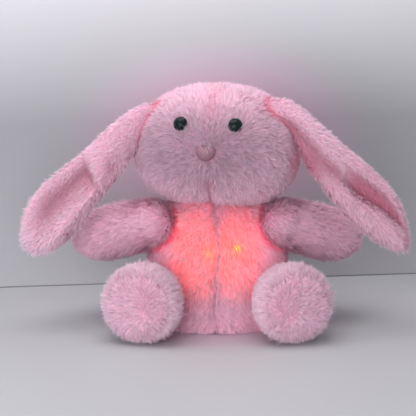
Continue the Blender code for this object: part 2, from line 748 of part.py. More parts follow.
def make_lens(looks, axis):
    """The translucent dome in front of the two lamps, with a lip that fits in the housing."""
    rim = LIGHT_SPLIT - SEW_GAP
    outer = lens_dome(LIGHT_RADIUS, rim, LENS_FRONT)
    hollow = lens_dome(LIGHT_RADIUS - LIGHT_WALL * 2, rim, LENS_FRONT + LIGHT_WALL)
    lip_outer = LIGHT_RADIUS - LIGHT_WALL - SEW_GAP
    lip_inner = LIGHT_RADIUS - LIGHT_WALL * 2
    profile = outer + [(lip_outer, rim), (lip_outer, rim + LENS_LIP), (lip_inner, rim + LENS_LIP)]
    profile += hollow[::-1]
    lathe("light_lens", profile, axis, BALL, looks["lens"])


def make_board(looks, axis, board_back):
    board_front = board_back - BOARD_THICKNESS
    disc = [(0, board_back), (BOARD_RADIUS, board_back), (BOARD_RADIUS, board_front), (0, board_front)]
    board = lathe("light_board", disc, axis, ROUND, looks["board"])
    for index, frame in enumerate(board_post_frames()):
        hole_radius = SCREW_RADIUS + SEW_GAP
        hole = [(0, board_front - OVERRUN), (hole_radius, board_front - OVERRUN),
                (hole_radius, board_back + OVERRUN), (0, board_back + OVERRUN)]
        cut(board, lathe(f"board_hole_{index + 1}", hole, frame, SMALL_ROUND))
        seat = frame @ Vector((0, 0, board_front - SEW_GAP))
        screw(f"board_screw_{index + 1}", frame_at(seat, (0, -1, 0)), looks)
    lamp_base = board_front - SEW_GAP
    for side_name, side in SIDES.items():
        place = (LIGHT_SIDE + side * LED_SPREAD, lamp_base, LIGHT_HEIGHT)
        frame = frame_at(place, (0, -1, 0))
        straight = LED_HEIGHT - LED_RADIUS
        profile = [(0, 0), (LED_FLANGE_RADIUS, 0), (LED_FLANGE_RADIUS, LED_FLANGE_HEIGHT),
                   (LED_RADIUS, LED_FLANGE_HEIGHT)]
        for i in range(LAMP_ROWS):
            t = math.pi / 2 * i / LAMP_ROWS
            profile.append((LED_RADIUS * math.cos(t), straight + LED_RADIUS * math.sin(t)))
        profile.append((0, LED_HEIGHT))
        lathe(f"lamp_{side_name}", profile, frame, SMALL_ROUND, looks["lamp"])


def screw(name, frame, looks):
    """A small round-headed screw with a slot; its head sits at the frame's origin, facing Z."""
    profile = [(0, -SCREW_LENGTH), (SCREW_RADIUS / 2, -SCREW_LENGTH),
               (SCREW_RADIUS, SCREW_RADIUS - SCREW_LENGTH), (SCREW_RADIUS, 0),
               (SCREW_HEAD_RADIUS, 0), (SCREW_HEAD_RADIUS, SCREW_HEAD_HEIGHT / 2),
               (SCREW_CROWN_RADIUS, SCREW_HEAD_HEIGHT), (0, SCREW_HEAD_HEIGHT)]
    made = lathe(name, profile, frame, SMALL_ROUND, looks["steel"])
    low = (-SCREW_HEAD_RADIUS - OVERRUN, -SCREW_SLOT_WIDTH / 2, SCREW_HEAD_HEIGHT - SCREW_SLOT_DEPTH)
    high = (SCREW_HEAD_RADIUS + OVERRUN, SCREW_SLOT_WIDTH / 2, SCREW_HEAD_HEIGHT + OVERRUN)
    slot = box(f"{name}_slot", low, high)
    slot.data.transform(frame)
    cut(made, slot)


def lead_start():
    return Vector((LIGHT_SIDE, LIGHT_BACK, LIGHT_HEIGHT - LEAD_OUTLET_DROP))


def lead_end():
    return Vector((0, BOX_FRONT, BOX_CENTRE_HEIGHT + CELL_PITCH / 2))


def make_lead(looks):
    """The two-core lead between the light unit and the battery box, straight in both holes."""
    start = lead_start() - Vector((0, LIGHT_WALL, 0))
    end = lead_end() + Vector((0, BOX_WALL, 0))
    reach = Vector((0, (end.y - start.y) / 3, 0))
    handles = (start, start + reach, end - reach, end)
    curve = bpy.data.curves.new("lead", "CURVE")
    curve.dimensions = "3D"
    curve.bevel_depth = LEAD_RADIUS
    curve.bevel_resolution = 2
    curve.use_fill_caps = True
    spline = curve.splines.new("POLY")
    spline.points.add(LEAD_POINTS - 1)
    for i in range(LEAD_POINTS):
        t = i / (LEAD_POINTS - 1)
        blend = ((1 - t) ** 3, 3 * t * (1 - t) ** 2, 3 * t ** 2 * (1 - t), t ** 3)
        place = sum((h * b for h, b in zip(handles, blend)), Vector())
        place.z -= LEAD_DROOP * math.sin(math.pi * t) ** 4
        spline.points[i].co = (*place, 1)
    curve.materials.append(looks["wire"])
    obj = bpy.data.objects.new("lead", curve)
    bpy.context.scene.collection.objects.link(obj)


def bay_centre_height():
    return BOX_CENTRE_HEIGHT + (BOX_HEIGHT - BAY_HEIGHT) / 2 - BOX_WALL


def cell_heights():
    return [bay_centre_height() + i * CELL_PITCH for i in (-1, 0, 1)]


def make_battery_box(looks):
    half_length = BOX_LENGTH / 2
    low_z = BOX_CENTRE_HEIGHT - BOX_HEIGHT / 2
    high_z = BOX_CENTRE_HEIGHT + BOX_HEIGHT / 2
    back = BOX_FRONT + BOX_DEPTH
    tray = box("battery_box", (-half_length, BOX_FRONT, low_z), (half_length, back, high_z),
               looks["case"], BOX_ROUNDING)
    bay_low = (BOX_WALL - half_length, BOX_FRONT + BOX_WALL, bay_centre_height() - BAY_HEIGHT / 2)
    bay_high = (half_length - BOX_WALL, back + OVERRUN, bay_centre_height() + BAY_HEIGHT / 2)
    cut(tray, box("cell_bay", bay_low, bay_high))
    switch_z = switch_height()
    room_low = (-SWITCH_LENGTH / 2, back - KNOB_STEM_DEPTH - SEW_GAP, switch_z - SWITCH_HEIGHT / 2)
    room_high = (SWITCH_LENGTH / 2, back + OVERRUN, switch_z + SWITCH_HEIGHT / 2)
    cut(tray, box("switch_room", room_low, room_high))
    cut(tray, lathe("box_lead_hole", lead_hole_rows(), frame_at(lead_end(), (0, 1, 0)), SMALL_ROUND))
    make_lid(looks, back)
    make_cells(looks)
    make_switch(looks, back)


def switch_height():
    """The middle of the strip below the cell bay, where the switch is."""
    bay_low = bay_centre_height() - BAY_HEIGHT / 2
    return (bay_low + BOX_CENTRE_HEIGHT - BOX_HEIGHT / 2) / 2


def make_lid(looks, back):
    half_length = BOX_LENGTH / 2 - SEW_GAP
    low_z = bay_centre_height() - BAY_HEIGHT / 2 - LID_RIM_WALL
    high_z = BOX_CENTRE_HEIGHT + BOX_HEIGHT / 2 - SEW_GAP
    face = back + SEW_GAP
    lid = box("battery_lid", (-half_length, face, low_z), (half_length, face + LID_THICKNESS, high_z),
              looks["case"], LID_RIM_WALL / 2)
    rim_x = BOX_LENGTH / 2 - BOX_WALL - SEW_GAP
    rim_low = bay_centre_height() - BAY_HEIGHT / 2 + SEW_GAP
    rim_high = bay_centre_height() + BAY_HEIGHT / 2 - SEW_GAP
    add(lid, box("lid_rim", (-rim_x, face - LID_RIM, rim_low), (rim_x, face + LID_RIM_WALL, rim_high)))
    room_x = rim_x - LID_RIM_WALL
    room_low = rim_low + LID_RIM_WALL
    room_high = rim_high - LID_RIM_WALL
    cut(lid, box("lid_hollow", (-room_x, face - OVERRUN, room_low), (room_x, face, room_high)))
    screw_z = bay_centre_height() + CELL_PITCH / 2
    outside = face + LID_THICKNESS
    seat = Vector((0, outside - SCREW_HEAD_HEIGHT - SEW_GAP, screw_z))
    make_lid_screw(lid, seat, looks)
    for i in range(LID_GRIP_RIBS):
        place = Vector((BOX_LENGTH / 4 + i * LID_GRIP_PITCH, outside, bay_centre_height()))
        rib_frame = frame_at(place - Vector((0, 0, LID_GRIP_LENGTH / 2)), (0, 0, 1))
        rib = [(0, 0), (LID_GRIP_RADIUS, 0), (LID_GRIP_RADIUS, LID_GRIP_LENGTH), (0, LID_GRIP_LENGTH)]
        add(lid, lathe(f"grip_rib_{i + 1}", rib, rib_frame, TINY_ROUND))


def make_lid_screw(lid, seat, looks):
    """The captive screw, which ends between two cells."""
    sink_radius = SCREW_HEAD_RADIUS + SEW_GAP
    hole_radius = SCREW_RADIUS + SEW_GAP
    frame = frame_at(seat, (0, 1, 0))
    profile = [(0, OVERRUN), (sink_radius, OVERRUN), (sink_radius, -SEW_GAP), (hole_radius, -SEW_GAP),
               (hole_radius, -OVERRUN), (0, -OVERRUN)]
    cut(lid, lathe("lid_screw_hole", profile, frame, SMALL_ROUND))
    screw("lid_screw", frame, looks)


def make_cells(looks):
    cell_y = BOX_FRONT + BOX_WALL + CELL_RADIUS + SEW_GAP
    bay_half = BOX_LENGTH / 2 - BOX_WALL
    plate_gap = SEW_GAP + CONTACT_THICKNESS + SEW_GAP
    for index, height in enumerate(cell_heights()):
        way = 1 if index % 2 == 0 else -1
        tip_x = way * (bay_half - plate_gap)
        axis = frame_at((tip_x, cell_y, height), (way, 0, 0))
        shoulder = -CELL_TIP_LENGTH
        profile = [(0, 0), (CELL_TIP_RADIUS, 0), (CELL_TIP_RADIUS, shoulder), (CELL_RADIUS, shoulder),
                   (CELL_RADIUS, -CELL_LENGTH), (0, -CELL_LENGTH)]
        lathe(f"cell_{index + 1}", profile, axis, CELL_ROUND, looks["cell"])
        plate_x = way * (bay_half - SEW_GAP - CONTACT_THICKNESS / 2)
        half = Vector((CONTACT_THICKNESS / 2, CONTACT_SIZE / 2, CONTACT_SIZE / 2))
        middle = Vector((plate_x, cell_y, height))
        box(f"contact_{index + 1}", middle - half, middle + half, looks["steel"])
        spring_from = tip_x - way * (CELL_LENGTH + SEW_GAP + SPRING_WIRE)
        spring_to = -way * (bay_half - SEW_GAP - SPRING_WIRE)
        make_spring(f"spring_{index + 1}", spring_from, spring_to, cell_y, height, looks)


def make_spring(name, start_x, end_x, y, z, looks):
    curve = bpy.data.curves.new(name, "CURVE")
    curve.dimensions = "3D"
    curve.bevel_depth = SPRING_WIRE
    curve.bevel_resolution = 1
    curve.use_fill_caps = True
    count = SPRING_TURNS * SPRING_POINTS_PER_TURN + 1
    spline = curve.splines.new("POLY")
    spline.points.add(count - 1)
    for i in range(count):
        t = 2 * math.pi * i / SPRING_POINTS_PER_TURN
        x = start_x + (end_x - start_x) * i / (count - 1)
        spline.points[i].co = (x, y + SPRING_RADIUS * math.cos(t), z + SPRING_RADIUS * math.sin(t), 1)
    curve.materials.append(looks["steel"])
    obj = bpy.data.objects.new(name, curve)
    bpy.context.scene.collection.objects.link(obj)


def make_switch(looks, back):
    """The slide switch's knob, at the end of its slot where the light is off."""
    switch_z = switch_height()
    base_half_height = SWITCH_HEIGHT / 2 - SEW_GAP
    centre_x = -SWITCH_SLOT_TRAVEL / 2
    low = (centre_x - KNOB_LENGTH / 2, back - KNOB_STEM_DEPTH, switch_z - base_half_height)
    high = (centre_x + KNOB_LENGTH / 2, back - SEW_GAP, switch_z + base_half_height)
    knob = box("switch_knob", low, high, looks["black"])
    cap_low = (centre_x - KNOB_LENGTH / 2, back - KNOB_STEM_DEPTH / 2, switch_z - KNOB_WIDTH / 2)
    cap_high = (centre_x + KNOB_LENGTH / 2, back + KNOB_RISE, switch_z + KNOB_WIDTH / 2)
    add(knob, box("knob_cap", cap_low, cap_high))
    set_origin(knob, (centre_x, back, switch_z))


def back_patch(name, half_width, low_z, high_z, inner, outer, columns, rows, look):
    """A curved panel that follows the body's back, between two distances from it."""
    loops = []
    for i in range(rows + 1):
        height = low_z + (high_z - low_z) * i / rows
        across = [half_width * (2 * j / columns - 1) for j in range(columns + 1)]
        near = [(x, body_back(x, height) + inner, height) for x in across]
        far = [(x, body_back(x, height) + outer, height) for x in across]
        loops.append(near + far[::-1])
    return loft(name, loops, look)


def make_flap(looks):
    loop_in = SEW_GAP
    loop_out = loop_in + STRIP_THICKNESS
    hook_in = loop_out + SEW_GAP
    hook_out = hook_in + STRIP_THICKNESS
    flap_in = hook_out + SEW_GAP
    flap_out = flap_in + FLAP_THICKNESS
    flap = back_patch("back_flap", FLAP_HALF_WIDTH, FLAP_BOTTOM, FLAP_TOP, flap_in, flap_out,
                      FLAP_COLUMNS, FLAP_ROWS, looks["fur"])
    strip_low = FLAP_BOTTOM + STRIP_INSET
    strip_high = strip_low + STRIP_HEIGHT
    hook = back_patch("hook_strip", STRIP_HALF_WIDTH, strip_low, strip_high, hook_in, hook_out,
                      STRIP_COLUMNS, 1, looks["strip"])
    back_patch("loop_strip", STRIP_HALF_WIDTH, strip_low, strip_high, loop_in, loop_out,
               STRIP_COLUMNS, 1, looks["strip"])
    hinge = (0, body_back(0, FLAP_TOP) + flap_in, FLAP_TOP)
    set_origin(flap, hinge)
    set_origin(hook, hinge)


def main():
    clear_scene()
    looks = {
        "fur": material("pink_plush", PINK, 0.95),
        "sole": material("sole_plush", PALE_PINK, 0.95),
        "black": material("black_plastic", (0.012, 0.014, 0.016), 0.12),
        "nose": material("nose_plastic", (0.42, 0.22, 0.28), 0.35),
        "clear": material("washer_plastic", (0.75, 0.75, 0.75), 0.5),
        "white": material("white_plastic", (0.85, 0.85, 0.83), 0.45),
        "lens": material("lens_plastic", (0.95, 0.90, 0.86), 0.35),
        "board": material("circuit_board", (0.03, 0.22, 0.09), 0.4),
        "steel": material("plated_steel", (0.62, 0.62, 0.60), 0.3, 1.0),
        "lamp": material("lamp_resin", (1.0, 0.62, 0.22), 0.2),
        "case": material("case_plastic", (0.88, 0.88, 0.86), 0.5),
        "cell": material("cell_wrap", (0.10, 0.11, 0.12), 0.35),
        "wire": material("lead_cover", (0.70, 0.05, 0.04), 0.5),
        "strip": material("hook_and_loop", (0.80, 0.55, 0.64), 0.95),
    }
    make_body(looks)
    make_head(looks)
    make_eyes(looks)
    make_nose(looks)
    make_ears(looks)
    make_arms(looks)
    make_legs(looks)
    make_tail(looks)
    make_light(looks)
    make_lead(looks)
    make_battery_box(looks)
    make_flap(looks)


main()
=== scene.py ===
"""Looks of the plush rabbit night light: its plush skins and pile, its glow, and the parts inside."""
import math

import bmesh
import bpy
import numpy as np
from mathutils import Matrix, Vector
from mathutils.bvhtree import BVHTree
from mathutils.kdtree import KDTree


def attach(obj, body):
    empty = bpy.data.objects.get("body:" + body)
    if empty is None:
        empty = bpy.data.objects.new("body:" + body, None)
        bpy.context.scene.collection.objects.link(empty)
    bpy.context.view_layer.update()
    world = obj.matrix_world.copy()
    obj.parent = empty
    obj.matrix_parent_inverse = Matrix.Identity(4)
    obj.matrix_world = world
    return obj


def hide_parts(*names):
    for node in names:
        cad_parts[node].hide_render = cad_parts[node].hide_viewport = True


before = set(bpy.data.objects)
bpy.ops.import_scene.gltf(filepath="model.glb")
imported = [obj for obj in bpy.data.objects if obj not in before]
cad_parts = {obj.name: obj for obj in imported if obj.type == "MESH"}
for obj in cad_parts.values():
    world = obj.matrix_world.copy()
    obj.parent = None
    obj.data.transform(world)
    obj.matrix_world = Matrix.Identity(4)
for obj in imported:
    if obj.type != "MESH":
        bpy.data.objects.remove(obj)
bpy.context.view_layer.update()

MM = 0.001
SIDES = {"left": -1, "right": 1}

# Sizes that the part's source gives, in metres. The outlines hold a place along the piece, then its
# half widths there, all as shares of the piece's own
BODY_HEIGHT = 0.134
BODY_HALF_WIDTH = 0.071
BODY_HALF_DEPTH = 0.062
BODY_OUTLINE_SHARES = (
    (0.00, 0.62, 0.60), (0.025, 0.76, 0.75), (0.10, 0.89, 0.90), (0.24, 0.975, 0.985), (0.40, 1.00, 1.00),
    (0.55, 0.99, 0.99), (0.68, 0.94, 0.945), (0.80, 0.85, 0.855), (0.90, 0.74, 0.74), (1.00, 0.60, 0.60),
)
HEAD_HALF_WIDTH = 0.0835
HEAD_RADIUS = 0.062
HEAD_FULLNESS = 2.2
HEAD_CENTRE = Vector((-0.001, -0.008, 0.183))
HEAD_TURN = math.radians(-10)
EYE_SPREAD = 0.0275
EYE_RISE = math.radians(30.5)
EYE_RADIUS = 0.0074
NOSE_RISE = math.radians(3.0)
NOSE_HALF_WIDTH = 0.0098
ARM_HALF_THICKNESS = 0.0275
SHOULDER = Vector((0.0710, -0.0160, 0.1050))
HAND_TIP = Vector((0.1460, 0.0140, 0.0780))
ARM_OUTLINE_SHARES = (
    (0.00, 0.90), (0.10, 0.95), (0.25, 0.985), (0.45, 1.00), (0.62, 0.98),
    (0.78, 0.86), (0.89, 0.66), (0.96, 0.42), (1.00, 0.0),
)
FOOT_RADIUS = 0.0400
HIP = Vector((0.0640, -0.0480, 0.0395))
LEG_SPLAY = math.radians(14)
LEG_LENGTH = 0.0600
LEG_OUTLINE_SHARES = (
    (0.00, 0.71), (0.16, 0.765), (0.34, 0.855), (0.55, 0.95),
    (0.72, 1.00), (0.86, 0.985), (0.95, 0.925), (1.00, 0.83),
)
SOLE_RADIUS = 0.0325
TAIL_RADIUS = 0.0165
TAIL_HEIGHT = 0.0240
TAIL_SINK = 0.0060
FLAP_HALF_WIDTH = 0.0370
FLAP_TOP = 0.1030
FLAP_BOTTOM = 0.0435
POUCH_HALF_WIDTH = 0.0284
POUCH_FRONT = 0.0266
POUCH_LOW = 0.0496
POUCH_HIGH = 0.0964

# How far the cloth lies inside the pile's outer surface
PILE_DEPTH = 0.0040

# The body's front seam: its place across, and the bend in it
SEAM_ACROSS = -0.0020
SEAM_BEND = 0.0042
SEAM_BEND_HEIGHT = 0.084
SEAM_BEND_REACH = 0.020

# Relief of the cloth: how deep a seam lies or how high a form stands, and how wide it is
BODY_SEAM_DEPTH, BODY_SEAM_WIDTH = 0.0034, 0.0045
BACK_SEAM_DEPTH, BACK_SEAM_WIDTH = 0.0020, 0.0040
BELLY_RISE, BELLY_WIDTH = 0.0016, 0.020
CHIN_SEAM_DEPTH, CHIN_SEAM_WIDTH = 0.0046, 0.0056
MUZZLE_RISE, MUZZLE_WIDTH = 0.0022, 0.020
JOWL_RISE, JOWL_WIDTH = 0.0016, 0.022
SOCKET_DEPTH, SOCKET_WIDTH = 0.0012, 0.0095
SEAM_MARK_WIDTH = 0.0028
SEAM_SHADOW_WIDTH = 0.0026
# Where the head's stuffing has settled: how much fuller, which way in degrees, how wide
CHEEKS = ((0.085, -38, 30), (0.060, -142, 30), (0.035, -90, 30), (0.030, 48, 26))
# How far the arm's sewn end lies over the front of the body
ARM_LAP = (0.0060, -0.0110)

# The photograph's frame: 416 pixels wide and high, about a millimetre to the pixel
PHOTO_MIDDLE_X = 217.5
PHOTO_BASE_Y = 322.0
RISE_PER_MM = 0.978
DEPTH_PER_MM = 0.208
# Each ear's upper and lower edge in the photograph, from its root to its tip
EAR_EDGES = {
    "left": (
        ((163, 101), (158, 128)), ((144, 102), (143, 141)), ((124, 113), (135, 152)),
        ((103, 131), (123, 172)), ((81, 152), (109, 191)), ((59, 169), (97, 206)),
        ((39, 187), (84, 223)), ((25, 208), (70, 240)), ((21, 228), (55, 250)), ((24, 243), (40, 253)),
    ),
    "right": (
        ((264, 98), (271, 124)), ((284, 98), (289, 133)), ((301, 107), (297, 148)),
        ((322, 126), (308, 170)), ((346, 147), (321, 189)), ((368, 165), (337, 209)),
        ((389, 186), (354, 227)), ((402, 208), (372, 241)), ((407, 230), (390, 249)),
        ((406, 243), (399, 249)),
    ),
}
EAR_DEPTHS = {"left": (-0.0110, -0.0460), "right": (-0.0300, -0.0560)}
EAR_BOW = 0.005
EAR_SKIN_INSET = 0.0036
EAR_FRONT_RISE = 0.0056
EAR_BACK_RISE = 0.0050
# Where the step of the right ear's roll runs across it, from its root to its tip
STEP_ALONG = (0.0, 0.10, 0.32, 0.47, 0.60, 0.68, 0.80, 0.90, 1.0)
STEP_ACROSS = (0.80, 0.74, 0.62, 0.58, 0.60, 0.54, 0.40, 0.26, 0.20)


# Shapes

def smooth_rows(rows, count):
    """Evenly spaced rows read from a smooth curve through a short table of rows."""
    table = np.array(rows, dtype=float)
    padded = np.vstack([2 * table[0] - table[1], table, 2 * table[-1] - table[-2]])
    made = []
    for s in np.linspace(0, len(table) - 1, count):
        i = min(int(s), len(table) - 2)
        t = s - i
        p0, p1, p2, p3 = padded[i:i + 4]
        made.append(0.5 * (2 * p1 + (p2 - p0) * t + (2 * p0 - 5 * p1 + 4 * p2 - p3) * t ** 2
                           + (3 * p1 - p0 - 3 * p2 + p3) * t ** 3))
    return np.array(made)


def ease(x, start, end):
    """Runs smoothly from 0 at start to 1 at end."""
    t = np.clip((np.asarray(x, dtype=float) - start) / (end - start), 0, 1)
    return t * t * (3 - 2 * t)


def mound(t, fullness):
    """A round hump from 0 to 1, squarer with more fullness."""
    return np.sqrt(np.clip(1 - np.abs(2 * t - 1) ** fullness, 0, 1))


def bump(x, centre, width):
    """A bell of height 1 at its centre."""
    return np.exp(-((x - centre) / width) ** 2)


def unit(v):
    return v / np.maximum(np.linalg.norm(v, axis=-1, keepdims=True), 1e-12)


def gap_to(points, spot, stretch=(1, 1, 1)):
    """How far each point lies from a spot, with the axes stretched."""
    return np.linalg.norm((points - spot) * np.array(stretch), axis=1)


def apply_frame(matrix, points):
    m = np.array(matrix)
    return points @ m[:3, :3].T + m[:3, 3]


def frame_at(origin, axis):
    """A frame with its Z axis along a given axis."""
    turn = Vector((0, 0, 1)).rotation_difference(Vector(axis).normalized())
    return Matrix.Translation(origin) @ turn.to_matrix().to_4x4()


def axis_of(matrix):
    return np.array((matrix.to_3x3() @ Vector((0, 0, 1)))[:])


def mirrored(point, side):
    return Vector((point.x * side, point.y, point.z))


def from_view(x, v, depth):
    """The point at a pixel of the photograph, at a depth in metres."""
    across = (x - PHOTO_MIDDLE_X) * MM
    up = (PHOTO_BASE_Y - v - DEPTH_PER_MM * depth / MM) / RISE_PER_MM * MM
    return np.array((across, depth, up))


def new_object(name, data):
    obj = bpy.data.objects.new(name, data)
    bpy.context.scene.collection.objects.link(obj)
    return obj


def skin_object(name, points, faces):
    """A smooth mesh of points and faces, with all its faces turned outwards."""
    mesh = bpy.data.meshes.new(name)
    mesh.from_pydata([tuple(p) for p in points], [], faces)
    mesh.update()
    shape = bmesh.new()
    shape.from_mesh(mesh)
    bmesh.ops.recalc_face_normals(shape, faces=shape.faces)
    shape.to_mesh(mesh)
    shape.free()
    mesh.shade_smooth()
    return new_object(name, mesh)


def closed_skin(name, rings, start=None, end=None):
    """A closed mesh through rings of points (rows, columns, 3), with a point or a flat cap at each end."""
    rows, columns = rings.shape[:2]
    points = rings.reshape(-1, 3).tolist()
    faces = []
    for i in range(rows - 1):
        for j in range(columns):
            k = (j + 1) % columns
            faces.append((i * columns + j, i * columns + k, (i + 1) * columns + k, (i + 1) * columns + j))
    for first, tip in ((0, start), ((rows - 1) * columns, end)):
        centre = tip if tip is not None else rings.reshape(-1, 3)[first:first + columns].mean(axis=0)
        points.append(list(centre))
        last = len(points) - 1
        faces += [(first + j, first + (j + 1) % columns, last) for j in range(columns)]
    return skin_object(name, points, faces)


def lathe_skin(name, profile, matrix, columns):
    """Turns (radius, height) rows about the frame's Z axis; both ends run to points."""
    turn = 2 * np.pi * np.arange(columns) / columns
    rings = [apply_frame(matrix, np.stack([radius * np.cos(turn), radius * np.sin(turn),
                                           np.full(columns, height)], axis=1))
             for radius, height in profile[1:-1]]
    start, end = (matrix @ Vector((0, 0, profile[k][1])) for k in (0, -1))
    return closed_skin(name, np.array(rings), start, end)


def seam_place(height):
    """How far across the body's front seam runs at a height, and how much of its bend it has there."""
    bent = bump(height, SEAM_BEND_HEIGHT, SEAM_BEND_REACH)
    return SEAM_ACROSS + SEAM_BEND * bent, bent


BODY_TABLE = smooth_rows(BODY_OUTLINE_SHARES, 400)


def body_shares(share):
    """The body's half width and half depth at a share of its height, as shares of its own."""
    return [np.interp(share, BODY_TABLE[:, 0], BODY_TABLE[:, k]) for k in (1, 2)]


def body_back(x, height):
    """Where the body's back lies, at places across and up."""
    width, depth = body_shares(np.asarray(height) / BODY_HEIGHT)
    across = np.asarray(x) / (width * BODY_HALF_WIDTH)
    return depth * BODY_HALF_DEPTH * np.sqrt(np.clip(1 - across ** 2, 0, 1))


def body_skin():
    """The torso: settled on the floor, drawn in at its seams, raised under the flap, its pouch open."""
    rows, columns = 80, 168
    turn = 2 * np.pi * np.arange(columns) / columns
    ahead = np.cos(turn)
    rings = []
    for share in np.linspace(0.0, 1.0, rows):
        settled = 0.985 - 0.03 * max(0.0, 1 - share / 0.06) ** 2 - 0.020 * float(ease(share, 0.05, 0.22))
        settled = settled if share < 0.30 else 0.0
        inset = PILE_DEPTH * (1 - 0.8 * bump(share, 0.0, 0.08))
        width, depth = (max(settled, own) * half - inset
                        for own, half in zip(body_shares(share), (BODY_HALF_WIDTH, BODY_HALF_DEPTH)))
        x = width * np.sin(turn)
        seam_x, bent = seam_place(share * BODY_HEIGHT)
        seam_depth = BODY_SEAM_DEPTH * (0.5 + 0.5 * float(ease(share, 0.0, 0.12))) * (1 - 0.62 * bent)
        seam = bump(x, seam_x, BODY_SEAM_WIDTH) * (ahead > 0) * seam_depth
        seam_back = bump(x, 0.0, BACK_SEAM_WIDTH) * (ahead < 0) * BACK_SEAM_DEPTH
        belly = BELLY_RISE * bump(np.abs(x), 0.026, BELLY_WIDTH) * bump(share, 0.45, 0.3) * (ahead > 0)
        z = 0.0025 + share * (BODY_HEIGHT - 0.0055)
        under_flap = ease(min(z - FLAP_BOTTOM, FLAP_TOP - z), 0.0, 0.004)
        bare = ease(FLAP_HALF_WIDTH - np.abs(x), 0.0, 0.005) * under_flap
        y = -(depth + belly - seam) * ahead - seam_back + 0.9 * PILE_DEPTH * bare * (ahead < 0)
        rings.append(np.stack([x, y, np.full(columns, z)], axis=1))
    skin = closed_skin("body_plush", np.array(rings))
    cut_pouch(skin)
    return skin


def cut_pouch(skin):
    """Opens the pouch for the battery box in the body's back."""
    corners = [(x, y, z) for x in (-POUCH_HALF_WIDTH, POUCH_HALF_WIDTH)
               for y in (POUCH_FRONT, BODY_HALF_DEPTH * 1.2) for z in (POUCH_LOW, POUCH_HIGH)]
    faces = [(0, 1, 3, 2), (4, 6, 7, 5), (0, 4, 5, 1), (2, 3, 7, 6), (0, 2, 6, 4), (1, 5, 7, 3)]
    cutter = skin_object("pouch_form", corners, faces)
    opening = skin.modifiers.new("pouch", "BOOLEAN")
    opening.operation, opening.solver, opening.object = "DIFFERENCE", "EXACT", cutter
    opened = bpy.data.meshes.new_from_object(skin.evaluated_get(bpy.context.evaluated_depsgraph_get()))
    skin.modifiers.clear()
    skin.data = opened
    opened.set_sharp_from_angle(angle=math.radians(50))
    bpy.data.objects.remove(cutter)


def head_frame():
    return Matrix.Translation(HEAD_CENTRE) @ Matrix.Rotation(HEAD_TURN, 4, "Z")


def head_radius(x, inset=0.0):
    share = np.clip(np.abs(x) / (HEAD_HALF_WIDTH - inset), 0, 1)
    return (HEAD_RADIUS - inset) * np.sqrt(1 - share ** HEAD_FULLNESS)


def on_face(x, rise):
    """A point on the head's outer surface, a distance x across and at an angle up from straight ahead."""
    r = float(head_radius(np.array(x)))
    return head_frame() @ Vector((x, -r * math.cos(rise), r * math.sin(rise)))


def fuller_cheeks(points):
    """The stuffing settles: the head is fuller towards its lower corners than the plain round form."""
    x, z = points[:, 0] / HEAD_HALF_WIDTH, points[:, 2] / HEAD_RADIUS
    way = np.degrees(np.arctan2(z, x))
    grown = sum(fuller * bump(way, middle, width) for fuller, middle, width in CHEEKS)
    return points * (1 + np.outer(grown * (x ** 2 + z ** 2), (1, 0, 1)))


def head_skin():
    """The head: turned about its own side-to-side axis, with the chin's seam, the muzzle and the sockets."""
    rows, columns = 72, 128
    across = -np.cos(np.pi * (np.arange(rows) + 0.6) / (rows + 0.2))
    rise = 2 * np.pi * np.arange(columns) / columns
    angle = np.arctan2(np.sin(rise), np.cos(rise))
    chin = np.clip((np.radians(-15) - angle) / np.radians(10), 0, 1) * (angle > np.radians(-110))
    matrix = head_frame()
    rings = []
    for share in across:
        x = share * (HEAD_HALF_WIDTH - PILE_DEPTH)
        radius = head_radius(np.array(x), PILE_DEPTH) - CHIN_SEAM_DEPTH * chin * bump(x, 0.0, CHIN_SEAM_WIDTH)
        radius = radius + MUZZLE_RISE * bump(x, 0.0, MUZZLE_WIDTH) * bump(angle, NOSE_RISE - 0.1, 0.35)
        for side in SIDES.values():
            socket = np.hypot(x - side * EYE_SPREAD, (angle - EYE_RISE) * HEAD_RADIUS)
            radius = radius - SOCKET_DEPTH * bump(socket, 0.0, SOCKET_WIDTH)
        radius = radius + JOWL_RISE * bump(abs(x), 0.050, JOWL_WIDTH) * bump(angle, np.radians(-25), 0.6)
        points = np.stack([np.full(columns, x), -radius * np.cos(rise), radius * np.sin(rise)], axis=1)
        rings.append(apply_frame(matrix, fuller_cheeks(points)))
    tips = [matrix @ Vector((side * (HEAD_HALF_WIDTH - PILE_DEPTH), 0, 0)) for side in SIDES.values()]
    return closed_skin("head_plush", np.array(rings), *tips)


def rolled_front(along, across, plain, edge):
    """The right ear's front: its lower side rolls over, and a hollow opens beside the roll."""
    step = np.interp(along, STEP_ALONG, STEP_ACROSS)
    t = np.clip(across / step, 0, 1)
    past = np.clip((across - step) / (1 - step), 0, 1)
    flap = 0.0060 * mound(np.clip(t / 0.9, 0, 1), 2.0) - 0.0050 * ease(t, 0.10, 0.50)
    roll = 0.0100 * mound(past, 2.3) - 0.0020
    opened = ease(along, 0.44, 0.62) * (1 - ease(along, 0.88, 0.99))
    valley = bump(across, step, 0.19) * ease(along, 0.02, 0.12) * (1 - opened)
    below = ease(across, step - 0.05, step + 0.12) * ease(along, 0.02, 0.10) * (1 - ease(along, 0.32, 0.50))
    # painted shade: in the opened hollow and the valley near the root, below the roll by the head, and
    # lightly over the ear's outer half
    hollow = np.maximum(ease(t, 0.14, 0.50) * (across < step + 0.02) * opened, 0.70 * valley)
    hollow = np.maximum(np.maximum(hollow, 0.80 * below), 0.16 * ease(along, 0.25, 0.6))
    folded = (plain + 0.0020 * mound(across, 2.0) - 0.0028 * valley) * (1 - opened * edge)
    return folded + np.where(across < step, flap, roll) * opened * edge, hollow


